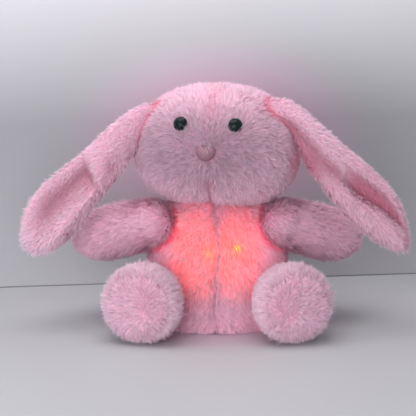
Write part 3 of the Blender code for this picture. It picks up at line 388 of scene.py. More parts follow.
def creased_front(along, across, plain, edge):
    """The left ear's front: a fold lies across it like a cuff, and a hollow opens past the fold."""
    past_fold = ease(along, 0.43 + 0.07 * across, 0.47 + 0.07 * across)
    hollow = bump(across, 0.40, 0.23) * past_fold * (1 - ease(along, 0.72, 0.97))
    cuff = 0.0042 * bump(across, 0.48, 0.32) * bump(along, 0.41, 0.08) * (1 - past_fold)
    roll = 0.0055 * bump(across, 0.80, 0.15) * ease(along, 0.45, 0.56) * (1 - ease(along, 0.85, 1.0))
    line = bump(along, 0.455 + 0.07 * across, 0.018) * bump(across, 0.45, 0.35)
    # the second value is painted shade in the hollow and along the fold line
    return plain + (cuff + roll - 0.0064 * hollow - 0.0018 * line) * edge, np.maximum(hollow * 0.60, line)


# How far an ear's front stands before its middle, and how much painted shade lies on it, at places along the
# ear from its root and across it from its upper edge. They start from its plain form, and keep its edge
EAR_FRONTS = {"left": creased_front, "right": rolled_front}


def ear_skin(side_name):
    """An ear between its two edges in the photograph, with painted shade marked on its front, mostly in its
    hollow.
    """
    rows, half = 84, 36
    edges = np.array(EAR_EDGES[side_name], dtype=float)
    upper, lower = smooth_rows(edges[:, 0], rows), smooth_rows(edges[:, 1], rows)
    near, far = EAR_DEPTHS[side_name]
    steps = np.hypot(*np.diff((upper + lower) / 2, axis=0).T)
    share = 0.5 - 0.5 * np.cos(np.pi * np.arange(half + 1) / half)
    round_form = mound(share, 2.0)
    edge = np.clip(round_form * 2.2, 0, 1)
    ahead = np.array((0.0, -1.0, 0.0))
    rings, marks = [], []
    for i, along in enumerate(np.concatenate([[0], np.cumsum(steps)]) / steps.sum()):
        depth = near + (far - near) * along - EAR_BOW * math.sin(math.pi * along)
        top, bottom = from_view(*upper[i], depth), from_view(*lower[i], depth)
        span = np.linalg.norm(top - bottom)
        pull = min(EAR_SKIN_INSET, span * 0.3) / span
        top, bottom = top + (bottom - top) * pull, bottom + (top - bottom) * pull
        front, hollow = EAR_FRONTS[side_name](along, share, EAR_FRONT_RISE * round_form, edge)
        back = -EAR_BACK_RISE * round_form * (0.75 + 0.25 * np.sin(np.pi * along))
        close = math.sqrt(max(0.0, 1 - max(0.0, (along - 0.90) / 0.105) ** 2))
        line = top + (bottom - top) * share[:, None]
        rings.append(np.vstack([line + ahead * (front * close)[:, None],
                                (line + ahead * (back * close)[:, None])[1:-1][::-1]]))
        marks.append(np.concatenate([hollow, np.zeros(half - 1)]))
    tip = rings[-1].mean(axis=0) + (rings[-1].mean(axis=0) - rings[-3].mean(axis=0)) * 0.4
    skin = closed_skin(f"ear_{side_name}_plush", np.array(rings), None, tip)
    add_value(skin.data, "hollow", np.concatenate([*marks, (0, 0)]))
    return skin


def arm_frame(side):
    start = mirrored(SHOULDER, side)
    return frame_at(start, mirrored(HAND_TIP, side) - start)


def round_end(radius, steps):
    """The profile of a round end below a lathe's start."""
    turns = np.linspace(0, math.pi / 2, steps)[:-1]
    return [(radius * math.sin(t), -radius * math.cos(t)) for t in turns]


def arm_skin(side_name):
    """An arm with a round inner end that laps over the body's front."""
    side = SIDES[side_name]
    reach = (HAND_TIP - SHOULDER).length
    profile = round_end(ARM_HALF_THICKNESS * 0.95 - PILE_DEPTH, 14)
    for place, width in smooth_rows(ARM_OUTLINE_SHARES, 40):
        radius = ARM_HALF_THICKNESS * width - PILE_DEPTH * min(1.0, width * 1.6)
        profile.append((max(0.0, radius), (reach - PILE_DEPTH) * place))
    skin = lathe_skin(f"arm_{side_name}_plush", profile, arm_frame(side), 72)
    start = mirrored(SHOULDER, side)
    axis = (mirrored(HAND_TIP, side) - start).normalized()
    for vertex in skin.data.vertices:
        along = (vertex.co - start).dot(axis) / reach
        bend = max(0.0, 1 - max(0.0, along + 0.25) / 0.85) ** 2
        vertex.co += Vector((-side * ARM_LAP[0], ARM_LAP[1], 0)) * bend
    skin.data.update()
    return skin


def leg_frame(side):
    axis = Vector((side * math.sin(LEG_SPLAY), -math.cos(LEG_SPLAY), 0))
    return frame_at(mirrored(HIP, side), axis)


FOOT_END = LEG_LENGTH - PILE_DEPTH * 0.6


def leg_skin(side_name):
    profile = round_end(FOOT_RADIUS * LEG_OUTLINE_SHARES[0][1] - PILE_DEPTH, 12)
    profile += [(FOOT_RADIUS * width - PILE_DEPTH, FOOT_END * place)
                for place, width in smooth_rows(LEG_OUTLINE_SHARES, 36)]
    rim, end = profile.pop()
    profile += [(rim - 0.001, end), (SOLE_RADIUS - 0.0040, end + 0.0004), (0.0, end + 0.0004)]
    return lathe_skin(f"leg_{side_name}_plush", profile, leg_frame(SIDES[side_name]), 80)


def sole_skin(side_name):
    """The sole's disc: crowned, with its sewn edge drawn in."""
    low = FOOT_END + 0.0002
    radius = SOLE_RADIUS - 0.0045
    profile = [(0.0, low), (radius * 0.9, low), (radius, low + 0.0006)]
    for t in np.linspace(0, math.pi / 2, 12)[1:]:
        profile.append((radius * math.cos(t), low + 0.0006 + 0.0030 * math.sin(t)))
    return lathe_skin(f"sole_{side_name}_plush", profile, leg_frame(SIDES[side_name]), 64)


def tail_skin():
    radius = TAIL_RADIUS - PILE_DEPTH * 0.8
    profile = [(radius * math.sin(t), -radius * math.cos(t)) for t in np.linspace(0, math.pi, 26)]
    place = frame_at((0, body_back(0, TAIL_HEIGHT) + TAIL_RADIUS - TAIL_SINK, TAIL_HEIGHT), (0, 1, 0))
    return lathe_skin("tail_plush", profile, place, 48)


def flap_skin():
    """The back flap: a thin padded panel that follows the back, with soft round edges."""
    rows, columns = 30, 40
    inner, outer = 0.0027, 0.0048
    rings = []
    for i in range(rows + 1):
        height = FLAP_BOTTOM + (FLAP_TOP - FLAP_BOTTOM) * i / rows
        share = 2 * np.arange(columns + 1) / columns - 1
        x = FLAP_HALF_WIDTH * 0.985 * share
        soft = np.sqrt(np.maximum(0.0, 1 - share ** 8)) * math.sqrt(max(0.0, 1 - (2 * i / rows - 1) ** 8))
        near = body_back(x, height) + inner
        up = np.full(columns + 1, height)
        far = np.stack([x, near + 0.0003 + (outer - inner) * soft, up], axis=1)
        rings.append(np.vstack([np.stack([x, near, up], axis=1), far[::-1]]))
    return closed_skin("back_flap_plush", np.array(rings))


# Pile

HAIRS_PER_MM2 = 1.9
HAIR_WIDTH = 0.00046
HAIR_ROOT_SINK = 0.0006
LOWEST_HAIR = 0.0004
# How far a hair is shaded like the cloth under it
SOFTNESS = 0.65
# The five corners of a hair: how far along it they lie, and their places in its cell of the bake map
HAIR_ALONG = (0.0, 0.0, 0.5, 0.5, 1.0)
HAIR_CELL = ((0.1, 0.1), (0.9, 0.1), (0.1, 0.55), (0.9, 0.55), (0.5, 0.95))
# A way for rays that runs along no edge of the meshes
UPWARDS = Vector((0.031, 0.023, 1.0)).normalized()


def add_value(mesh, name, values):
    layer = mesh.attributes.new(name, "FLOAT", "POINT")
    layer.data.foreach_set("value", values.astype(np.float32))


def read_value(mesh, name):
    values = np.zeros(len(mesh.vertices))
    mesh.attributes[name].data.foreach_get("value", values)
    return values


def triangles_of(obj):
    """A skin's points, their normals and its triangles."""
    mesh = obj.data
    mesh.calc_loop_triangles()
    points, normals = np.empty(len(mesh.vertices) * 3), np.empty(len(mesh.vertices) * 3)
    mesh.vertices.foreach_get("co", points)
    mesh.vertices.foreach_get("normal", normals)
    tris = np.empty(len(mesh.loop_triangles) * 3, dtype=np.int64)
    mesh.loop_triangles.foreach_get("vertices", tris)
    return points.reshape(-1, 3), normals.reshape(-1, 3), tris.reshape(-1, 3)


def tree_of(obj):
    points, _, tris = triangles_of(obj)
    return BVHTree.FromPolygons(points.tolist(), tris.tolist()), points.min(axis=0), points.max(axis=0)


def within(tree, point):
    """True if a point lies inside a closed skin: a ray from it crosses the skin an odd number of times."""
    start = Vector(point)
    for crossings in range(20):
        spot = tree.ray_cast(start, UPWARDS)[0]
        if spot is None:
            return crossings % 2 == 1
        start = spot + UPWARDS * 0.00001
    return False


def outside(points, solids):
    """Which points lie outside all of the closed skins."""
    keep = np.ones(len(points), dtype=bool)
    for tree, low, high in solids:
        near = keep & (points > low).all(axis=1) & (points < high).all(axis=1)
        for i in np.flatnonzero(near):
            keep[i] = not within(tree, points[i])
    return keep


def flat_on(normals, v):
    """v without its part along the normals, at length 1."""
    return unit(v - normals * np.sum(v * normals, axis=1, keepdims=True))


def swirl(points, size, seed):
    """A smooth random value from -1 to 1 for each point."""
    rng = np.random.default_rng(seed)
    total = np.zeros(len(points))
    for _ in range(7):
        way = rng.normal(size=3)
        way *= 2 * np.pi / (size * np.linalg.norm(way)) * rng.uniform(0.6, 1.5)
        total += np.sin(points @ way + rng.uniform(0, 2 * np.pi))
    return total / 3.2


def spin(v, axis, angle):
    """v turned about axis by an angle, row by row."""
    c, s = np.cos(angle)[:, None], np.sin(angle)[:, None]
    return v * c + np.cross(axis, v) * s + axis * np.sum(axis * v, axis=1, keepdims=True) * (1 - c)


def scatter(rng, skin, keep, trees):
    """Roots spread evenly over a skin, with the normal and the skin's marks at each."""
    points, normals, tris = triangles_of(skin)
    a, b, c = (points[tris[:, k]] for k in range(3))
    area = np.linalg.norm(np.cross(b - a, c - a), axis=1) / 2
    count = int(area.sum() * 1e6 * HAIRS_PER_MM2)
    pick = np.searchsorted(np.cumsum(area) / area.sum(), (np.arange(count) + rng.random(count)) / count)
    corners = tris[np.clip(pick, 0, len(tris) - 1)]
    u, v = rng.random(count), rng.random(count)
    over = u + v > 1
    u[over], v[over] = 1 - u[over], 1 - v[over]
    share = np.stack([1 - u - v, u, v], axis=1)
    root = np.einsum("nk,nkd->nd", share, points[corners])
    index = np.arange(count) if keep is None else np.flatnonzero(keep(root))
    index = index[outside(root[index], trees)]
    share, corners = share[index], corners[index]
    normal = unit(np.einsum("nk,nkd->nd", share, normals[corners]))
    marks = {name: np.einsum("nk,nk->n", share, read_value(skin.data, name)[corners])
             for name in ("painted_shade_and_seam_pink", "shade")}
    return root[index], normal, marks


def tufts_of(rng, root, count):
    """Picks the hairs at the middle of the tufts, and the tuft that each hair belongs to."""
    centre = rng.choice(len(root), count, replace=False)
    tree = KDTree(count)
    for i, k in enumerate(centre):
        tree.insert(root[k], i)
    tree.balance()
    return centre, np.array([tree.find(p)[1] for p in root])


def ribbons(rng, line, normal, soft):
    """Hairs as tapering ribbons of five corners about their lines, and the normal for each corner."""
    count = len(line)
    along = unit(line[:, 1:] - line[:, :-1])
    tangent = np.stack([along[:, 0], unit(along[:, 0] + along[:, 1])], axis=1)
    roll = rng.normal(0, 0.5, count)
    vertices, facing = np.zeros((count, 5, 3)), np.zeros((count, 5, 3))
    for k, taper in ((0, 1.0), (1, 0.9)):
        side = spin(unit(np.cross(tangent[:, k], normal)), tangent[:, k], roll)
        reach = side * (HAIR_WIDTH * taper / 2 * rng.uniform(0.8, 1.2, count))[:, None]
        vertices[:, 2 * k], vertices[:, 2 * k + 1] = line[:, k] - reach, line[:, k] + reach
        ribbon = unit(np.cross(side, tangent[:, k]))
        facing[:, 2 * k] = facing[:, 2 * k + 1] = unit(ribbon * (1 - soft) + normal * soft)
    vertices[:, 4], facing[:, 4] = line[:, 2], facing[:, 3]
    vertices[..., 2] = np.maximum(vertices[..., 2], LOWEST_HAIR)
    return vertices, facing


def hair_mesh(name, vertices, facing):
    """One mesh of all hairs, with a map that gives each hair a small cell of its own for baking."""
    count = len(vertices)
    first = np.arange(count)[:, None] * 5
    loops = np.concatenate([(first + (0, 1, 3, 2)).reshape(-1), (first + (2, 3, 4)).reshape(-1)])
    sizes = np.repeat((4, 3), count)
    mesh = bpy.data.meshes.new(name)
    mesh.vertices.add(count * 5)
    mesh.vertices.foreach_set("co", vertices.reshape(-1))
    mesh.loops.add(len(loops))
    mesh.loops.foreach_set("vertex_index", loops.astype(np.int32))
    mesh.polygons.add(len(sizes))
    mesh.polygons.foreach_set("loop_start", np.concatenate([[0], np.cumsum(sizes)[:-1]]).astype(np.int32))
    mesh.update(calc_edges=True)
    mesh.shade_smooth()
    mesh.normals_split_custom_set_from_vertices(facing.reshape(-1, 3))
    columns = math.ceil(math.sqrt(count))
    hair, corner = loops // 5, loops % 5
    places = (np.stack([hair % columns, hair // columns], axis=1) + np.array(HAIR_CELL)[corner]) / columns
    mesh.uv_layers.new(name="OFBake").data.foreach_set("uv", places.reshape(-1).astype(np.float32))
    return mesh


def grow_pile(name, skin, body, comb, seed, material, trees=(), keep=None, length=0.0090, rise=(60, 30),
              clump_mm2=2.8, clumping=0.50, ruffle=0.30, stray=0.24, uneven=0.10, soft=SOFTNESS,
              length_of=lambda points: 1.0, lift_of=lambda points: 0.0):
    """Short tapering hairs rooted on a skin, combed and gathered in small tufts, as one mesh.

    comb gives the way at places on the skin. rise is how many degrees a hair's lower and upper half
    stand up. The hairs keep out of the skins whose trees are given.
    """
    rng = np.random.default_rng(seed)
    root, normal, marks = scatter(rng, skin, keep, trees)
    count = len(root)
    way = flat_on(normal, comb(root))
    turned = ruffle * swirl(root, 0.030, seed + 1) + ruffle * 0.6 * swirl(root, 0.009, seed + 2)
    way = spin(way, normal, turned)
    clumps = max(2, int(count / (HAIRS_PER_MM2 * clump_mm2)))
    centre, own = tufts_of(rng, root, clumps)
    clump_tone = rng.random(clumps)[own]
    way = spin(way, normal, rng.normal(0, 0.16, clumps)[own] + rng.normal(0, stray, count))

    grown = length * rng.uniform(0.70, 1.15, count) * (1 + rng.normal(0, uneven, clumps)[own])
    grown = grown * length_of(root)
    lean = rng.normal(0, 8, clumps)[own] + rng.normal(0, 11, count) + lift_of(root)
    steps = [root - normal * HAIR_ROOT_SINK]
    for angle in rise:
        tilt = np.radians(np.clip(angle + lean, 3, 88))[:, None]
        steps.append(steps[-1] + (way * np.cos(tilt) + normal * np.sin(tilt)) * (grown / len(rise))[:, None])
    line = np.stack(steps, axis=1)
    pull = clumping * rng.uniform(0.5, 1.0, count)[:, None]
    target = line[centre[own]]
    for k, strength in ((1, 0.35), (2, 1.0)):
        line[:, k] += (target[:, k] - line[:, k]) * pull * strength

    mesh = hair_mesh(name, *ribbons(rng, line, normal, soft))
    add_value(mesh, "along", np.tile(HAIR_ALONG, count))
    marks["tone"] = np.clip(0.7 * clump_tone + 0.3 * rng.random(count), 0, 1)
    for mark, values in marks.items():
        add_value(mesh, mark, np.repeat(values, 5))
    mesh.materials.append(material)
    obj = new_object(name, mesh)
    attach(obj, body)


# Materials

# A hair's colour from root to tip; the deeper root is partly painted shade deep in the pile
ROOT_PINK = (0.84, 0.37, 0.51, 1)
MIDDLE_PINK = (0.90, 0.53, 0.67, 1)
TIP_PINK = (0.94, 0.66, 0.785, 1)
FROST_PINK = (0.93, 0.79, 0.87, 1)
# Painted shade in creases, hollows and on the head's lower sides, deep pink to crimson, which also tints the
# seams; the spill and the crease light are painted light
SHADE_AND_SEAM_PINK = (0.87, 0.24, 0.38, 1)
SPILL_PINK = (1.0, 0.46, 0.58, 1)
CREASE_LIGHT = (1.0, 0.04, 0.16, 1)
CRIMSON = (0.78, 0.08, 0.22, 1)
SOLE_ROOT_PINK = (0.76, 0.45, 0.59, 1)
PALE_ROOT_PINK = (0.83, 0.38, 0.52, 1)
SHADE_TINT = (0.54, 0.42, 0.46, 1)
CLOTH_PINKS = ((0.76, 0.30, 0.43, 1), (0.84, 0.42, 0.55, 1))
PALE_CLOTH_PINKS = ((0.74, 0.36, 0.49, 1), (0.80, 0.44, 0.57, 1))

# Painted shade about the nose, greyer and darker: its middle, its share of each axis, its colour and how far
# it fades
MUZZLE_SHADE_MIDDLE = on_face(-0.014, NOSE_RISE) + Vector((0, 0, 0.002))
MUZZLE_SHADE_STRETCH = (0.45, 0.5, 1.0)
MUZZLE_SHADE_TINT = (0.60, 0.570, 0.600, 1)
MUZZLE_SHADE_REACH = (0.062, 0.012)

# The belly's glow. Each lobe of red light: its middle and its reach across and up, and its strength
GLOW_LOBES = (((-0.0205, 0.0820), (0.0330, 0.0510), 0.82), ((0.0190, 0.0820), (0.0290, 0.0470), 1.04))
LOBE_ROUNDNESS = 2.4
LOBE_FADE = (1.25, 0.45)
# Each lamp's bright spot and its strength
GLOW_SPOTS = (((-0.0090, -0.0620, 0.0830), 0.45), ((0.0200, -0.0610, 0.0880), 2.2))
SPOT_WIDTH = 0.0042
HALO_WIDTH = 0.0100
SPOT_YELLOW = (1.0, 0.62, 0.05, 1)
HALO_ORANGE = (1.0, 0.30, 0.04, 1)
LEFT_REDS = ((1.0, 0.0, 0.05, 1), (1.0, 0.10, 0.06, 1))
RIGHT_RED = (1.0, 0.11, 0.115, 1)
# What the cloth's own colour is multiplied by where it is lit
LEFT_DEEP, RIGHT_DEEP = (1.0, 0.75, 0.62, 1), (1.0, 0.87, 0.77, 1)
HALO_DEEP, SPOT_DEEP = (1.0, 0.62, 0.42, 1), (0.9, 0.48, 0.05, 1)


def operation(name, swapped=False):
    """An operator that adds a node for a sum, product or the like."""
    def apply(first, second=0.0):
        return first.nodes.maths(name, *((second, first) if swapped else (first, second)))
    return apply


class Wire:
    """An output in a node tree that can be reckoned with like a number."""

    def __init__(self, nodes, output):
        self.nodes, self.output = nodes, output

    __add__, __radd__ = operation("ADD"), operation("ADD", True)
    __sub__, __rsub__ = operation("SUBTRACT"), operation("SUBTRACT", True)
    __mul__, __rmul__ = operation("MULTIPLY"), operation("MULTIPLY", True)
    __truediv__, __pow__, __rpow__ = operation("DIVIDE"), operation("POWER"), operation("POWER", True)
    __abs__ = operation("ABSOLUTE")

    def held(self):
        """The same value, held between 0 and 1."""
        self.output.node.use_clamp = True
        return self

    def past(self, start, slope):
        """Rises at a slope from 0 at start to 1, towards lower values if the slope is negative."""
        return ((self - start) * slope).held()


class Nodes:
    """A material and a short hand for building its node tree."""

    def __init__(self, name):
        self.made = bpy.data.materials.new(name)
        self.made.use_nodes = True
        self.tree = self.made.node_tree
        self.shader = Wire(self, self.tree.nodes["Principled BSDF"].outputs[0])
        self.where = self.add("ShaderNodeTexCoord", "Object")

    def put(self, socket, value):
        if isinstance(value, Wire):
            self.tree.links.new(value.output, socket)
        else:
            socket.default_value = value

    def add(self, kind, output, inputs=None, **settings):
        """A new node with its settings and inputs filled in. Gives the wire from one of its outputs."""
        node = self.tree.nodes.new(kind)
        for key, value in settings.items():
            setattr(node, key, value)
        for key, value in (inputs or {}).items():
            self.put(node.inputs[key], value)
        return Wire(self, node.outputs[output])

    def dress(self, **inputs):
        """Sets inputs of the plain shader, with their names' spaces written as underscores."""
        for name, value in inputs.items():
            self.put(self.shader.output.node.inputs[name.replace("_", " ")], value)

    def show(self, shader):
        self.put(self.tree.nodes["Material Output"].inputs["Surface"], shader)

    def maths(self, name, a, b=0.0):
        return self.add("ShaderNodeMath", 0, {0: a, 1: b}, operation=name)

    def bell(self, offset, width):
        """Falls smoothly from 1 with the offset."""
        return math.e ** ((abs(offset) / width) ** 2.0 * -1.0)

    def fade(self, value, start, end):
        """Runs smoothly from 0 at start to 1 at end."""
        return self.add("ShaderNodeMapRange", 0, {"Value": value, "From Min": start, "From Max": end},
                        interpolation_type="SMOOTHSTEP")

    def mix(self, factor, a, b, blend="MIX"):
        return self.add("ShaderNodeMix", "Result", {"Factor": factor, "A": a, "B": b},
                        data_type="RGBA", blend_type=blend)

    def noise(self, scale, detail=2.0, rough=0.5):
        return self.add("ShaderNodeTexNoise", "Fac",
                        {"Vector": self.where, "Scale": scale, "Detail": detail, "Roughness": rough})

    def ramp(self, factor, *stops):
        made = self.add("ShaderNodeValToRGB", "Color", {"Fac": factor})
        elements = made.output.node.color_ramp.elements
        for k, (place, colour) in ((0, stops[0]), (1, stops[-1])):
            elements[k].position, elements[k].color = place, colour
        for place, colour in stops[1:-1]:
            elements.new(place).color = colour
        return made

    def places(self):
        """The wires of the place across, back and up."""
        split = self.add("ShaderNodeSeparateXYZ", "X", {0: self.where}).output.node
        return [Wire(self, output) for output in split.outputs]

    def distance(self, spot, stretch=(1.0, 1.0, 1.0)):
        gap = self.add("ShaderNodeVectorMath", 0, {0: self.where, 1: tuple(spot)}, operation="SUBTRACT")
        scaled = self.add("ShaderNodeVectorMath", 0, {0: gap, 1: stretch}, operation="MULTIPLY")
        return self.add("ShaderNodeVectorMath", "Value", {0: scaled}, operation="LENGTH")

    def bump(self, height, strength, distance):
        return self.add("ShaderNodeBump", 0, {"Height": height, "Strength": strength, "Distance": distance})

    def value(self, name):
        return self.add("ShaderNodeAttribute", "Fac", attribute_name=name)


def pile_material(name, glow=False, paler=0.0, shaded_muzzle=False, root=ROOT_PINK, contrast=0.42, crease_light=0.10):
    """Plush pile: deeper towards the root, partly as painted shade deep in the pile, paler at the tip, each
    tuft a little different; darker and deeper pink where painted shade is marked on the skin.
    """
    n = Nodes(name)
    along, tone, painted_shade_and_seam_pink = (n.value(key) for key in ("along", "tone", "painted_shade_and_seam_pink"))
    light = 0.91 - contrast / 2 + (tone * contrast + n.noise(38) * 0.10)
    grey = n.add("ShaderNodeCombineColor", "Color", {0: light, 1: light, 2: light})
    colour = n.ramp(along, (0.0, root), (0.42, MIDDLE_PINK), (1.0, TIP_PINK))
    colour = n.mix(1.0, colour, grey, "MULTIPLY")
    if paler:
        colour = n.mix(along * paler, colour, FROST_PINK)
    if shaded_muzzle:
        # painted shade about the nose
        near = n.fade(n.distance(MUZZLE_SHADE_MIDDLE, MUZZLE_SHADE_STRETCH), *MUZZLE_SHADE_REACH)
        colour = n.mix(near * 0.9, colour, MUZZLE_SHADE_TINT, "MULTIPLY")
    colour = n.mix(n.value("shade"), colour, SHADE_TINT, "MULTIPLY")
    # painted shade, deep pink to crimson, and the seams' pink; with a little painted light in the creases
    deep = n.ramp(painted_shade_and_seam_pink, (0.0, SHADE_AND_SEAM_PINK), (0.60, SHADE_AND_SEAM_PINK), (0.95, CRIMSON))
    colour = n.mix(painted_shade_and_seam_pink * 0.75, colour, deep)
    crease = painted_shade_and_seam_pink ** 4.0 * crease_light
    if glow:
        colour = add_glow(n, colour, along, crease)
    else:
        n.dress(Emission_Color=CREASE_LIGHT, Emission_Strength=crease)
    n.dress(Base_Color=colour, Roughness=0.60, Specular_IOR_Level=0.35,
            Sheen_Weight=0.25, Sheen_Roughness=0.5, Sheen_Tint=(1.0, 0.86, 0.92, 1))
    through = n.add("ShaderNodeBsdfTranslucent", 0, {"Color": colour})
    n.show(n.add("ShaderNodeMixShader", 0, {0: 0.3, 1: n.shader, 2: through}))
    return n.made


def add_glow(n, colour, along=None, crease=None):
    """Warm light from the two lamps, seen through the cloth: orange at each lamp, red further out.

    Sets the shader's emission, and gives the cloth's colour as it looks in that light. Pile gives the
    wires of its hairs' length and of the light in its creases.
    """
    x, y, z = n.places()
    right_side = x.past(0.008, 70.0)
    patch = n.noise(60, 3.0, 0.6)
    lobes = []
    for (middle_x, middle_z), (reach_x, reach_z), strength in GLOW_LOBES:
        round_sum = (abs((x - middle_x) / reach_x) ** LOBE_ROUNDNESS
                     + abs((z - middle_z) / reach_z) ** LOBE_ROUNDNESS)
        lobes.append(n.fade(round_sum ** (1 / LOBE_ROUNDNESS) + (patch - 0.5) * 0.50, *LOBE_FADE) * strength)
    # painted shadow of the chin: the glow is dimmer towards its top
    chin_shadow = z.past(0.098, 50.0)
    field = n.maths("MAXIMUM", *lobes) * (1.0 - chin_shadow * 0.28)
    front = y.past(-0.012, -45.0)
    bent = n.bell(z - SEAM_BEND_HEIGHT, SEAM_BEND_REACH)
    seam = n.bell(x - (SEAM_ACROSS + bent * SEAM_BEND), SEAM_SHADOW_WIDTH)
    uneven = 0.40 + n.noise(90, 3.0, 0.65) * 1.20
    lit = field * front * ((1.0 - seam * 0.60) * uneven)

    gaps = [(n.distance(spot), strength) for spot, strength in GLOW_SPOTS]
    speckle = n.noise(420, 2.0, 0.6).past(0.36, 4.0)
    hot = (sum(n.bell(gap, SPOT_WIDTH) * strength for gap, strength in gaps) * speckle).held()
    halo = sum(n.bell(gap, HALO_WIDTH) * 0.30 for gap, _ in gaps)
    warm = n.mix(right_side, n.mix(patch, *LEFT_REDS), RIGHT_RED)
    warm = n.mix(hot, n.mix(halo, warm, HALO_ORANGE), SPOT_YELLOW)
    power = lit * (n.noise(120, 4.0, 0.70) * 0.86 - 0.02) + (hot * 1.6 + halo * 0.3)
    if along:
        tone = n.value("tone")
        power = power * ((1.5 - along * 0.9) * n.maths("MAXIMUM", tone * 2.6 - 0.40, 0.10))

    # painted light: the glow spilling pink onto the front of the body's sides and its lower front, more on
    # the right
    side = abs(x + 0.003).past(0.034, 50.0)
    low = z.past(0.050, -40.0)
    forward = y.past(-0.005, -32.0)
    spill = n.maths("MAXIMUM", side, low * 0.25) * forward * (0.13 + right_side * 0.09)
    power = power + spill
    warm = n.mix(spill / (power + 0.0001), warm, SPILL_PINK)
    if crease:
        warm = n.mix((crease * 3.0).held(), warm, CREASE_LIGHT)
        power = power + crease
    n.dress(Emission_Color=warm, Emission_Strength=power)

    if along:
        pale = tone.past(0.34, -7.0)
        colour = n.mix(pale * lit * 0.35, colour, FROST_PINK)
    deep = n.mix(lit * 0.85, (1, 1, 1, 1), n.mix(right_side, LEFT_DEEP, RIGHT_DEEP))
    deep = n.mix((halo * 1.6).held(), deep, HALO_DEEP)
    return n.mix(1.0, colour, n.mix(hot, deep, SPOT_DEEP), "MULTIPLY")


def cloth_material(name, glow=False, pinks=CLOTH_PINKS):
    """The knitted backing that the pile stands on, seen only between the tufts."""
    n = Nodes(name)
    knit = n.add("ShaderNodeTexVoronoi", "Distance", {"Vector": n.where, "Scale": 620})
    # painted shade in creases and hollows, deep pink, and the seams' pink
    colour = n.mix(n.value("painted_shade_and_seam_pink") * 0.8, n.mix(n.noise(55, 3.0, 0.6), *pinks), SHADE_AND_SEAM_PINK)
    if glow:
        colour = add_glow(n, colour)
    n.dress(Base_Color=colour, Roughness=0.95, Specular_IOR_Level=0.1, Normal=n.bump(knit, 0.5, 0.0006))
    return n.made


def plastic(name, dark, light, roughness, scale=90, grain=0.0002, metallic=0.0, gloss=0.5):
    """Moulded plastic or metal: slight cloudiness, fine grain in the gloss and the surface."""
    n = Nodes(name)
    rough = roughness - 0.05 + n.noise(scale * 6, 2.0, 0.6) * 0.1
    n.dress(Base_Color=n.mix(n.noise(scale, 3.0, 0.6), (*dark, 1), (*light, 1)), Roughness=rough,
            Metallic=metallic, Specular_IOR_Level=gloss, Normal=n.bump(n.noise(scale * 12), 0.25, grain))
    return n.made


def dress_nodes():
    """Materials of the CAD pieces that keep their own shape."""
    steel = plastic("plated_steel", (0.50, 0.50, 0.49), (0.66, 0.66, 0.64), 0.28, 400, 0.00003, 1.0)
    looks = (
        (plastic("eye_gloss", (0.004, 0.008, 0.008), (0.010, 0.018, 0.018), 0.16, 60, 0.00002, gloss=0.13),
         "eye_left eye_right"),
        (plastic("nose_satin", (0.17, 0.08, 0.105), (0.34, 0.175, 0.22), 0.52, 220, 0.00015, gloss=0.30),
         "nose"),
        (plastic("washer_nylon", (0.70, 0.70, 0.69), (0.80, 0.80, 0.78), 0.5),
         "eye_washer_left eye_washer_right nose_washer"),
        (plastic("housing_white", (0.78, 0.78, 0.77), (0.86, 0.86, 0.84), 0.45), "light_housing"),
        (plastic("lens_frosted", (0.90, 0.78, 0.72), (0.95, 0.86, 0.80), 0.35), "light_lens"),
        (plastic("board_green", (0.015, 0.13, 0.05), (0.03, 0.26, 0.10), 0.35, 700, 0.00005), "light_board"),
        (plastic("lamp_resin_amber", (0.92, 0.48, 0.12), (1.0, 0.62, 0.20), 0.18), "lamp_left lamp_right"),
        (plastic("case_white", (0.80, 0.80, 0.79), (0.87, 0.87, 0.85), 0.5, 120), "battery_box battery_lid"),
        (plastic("cell_wrap_dark", (0.07, 0.08, 0.09), (0.12, 0.13, 0.15), 0.3, 300, 0.00003),
         "cell_1 cell_2 cell_3"),
        (plastic("lead_red", (0.45, 0.03, 0.03), (0.62, 0.05, 0.04), 0.45), "lead"),
        (plastic("knob_black", (0.015, 0.015, 0.015), (0.03, 0.03, 0.03), 0.4), "switch_knob"),
        (plastic("tape_pink", (0.60, 0.36, 0.46), (0.78, 0.50, 0.60), 0.9, 900, 0.0006),
         "hook_strip loop_strip"),
        (steel, "board_screw_1 board_screw_2 lid_screw spring_1 spring_2 spring_3 "
                "contact_1 contact_2 contact_3"),
    )
    for look, pieces in looks:
        for piece in pieces.split():
            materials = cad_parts[piece].data.materials
            materials.clear()
            materials.append(look)


# The stage

FLOOR_TONES = ((0.385, 0.385, 0.40, 1), (0.435, 0.435, 0.45, 1))
# The pink glow about the toy: what it multiplies the tone by, and the distances where it starts and is full
FLOOR_GLOW = (1.06, 0.75, 0.93, 1)
FLOOR_GLOW_REACH = (0.15, 0.04)
FLOOR_HALF_SIZE = 4
WALL_TONES = ((0.40, 0.395, 0.415, 1), (0.43, 0.425, 0.445, 1))
# Painted light and shade on the wall: lighter to the left, darker as it rises from its foot, lighter again
# higher up, a painted shadow along its foot; and the toy's painted pink glow
WALL_LEFT_LIGHT = (0.48, 0.48, 0.51, 1)
WALL_RISING_SHADE = (0.82, 0.83, 0.835, 1)
WALL_HIGH_LIGHT = (0.80, 0.80, 0.82, 1)
WALL_FOOT_SHADOW = (0.05, 0.05, 0.05, 1)
WALL_FOOT_SHADOW_HEIGHT = 0.0014
WALL_GLOW = (1.86, 1.15, 1.42, 1)
WALL_GLOW_REACH = (0.145, 0.03)
WALL_GLOW_MIDDLE = (0.002, 0, 0.150)
WALL_GLOW_STRETCH = (0.78, 0, 1.1)
# Two places on the wall's foot, and how far it runs on past them and up
WALL_LEFT = Vector((-0.217, 0.132, 0))
WALL_RIGHT = Vector((0.198, 0.190, 0))
WALL_SIZE = 2.2

WORLD_COLOUR = (0.93, 0.93, 1.0, 1)
WORLD_STRENGTH = 0.54

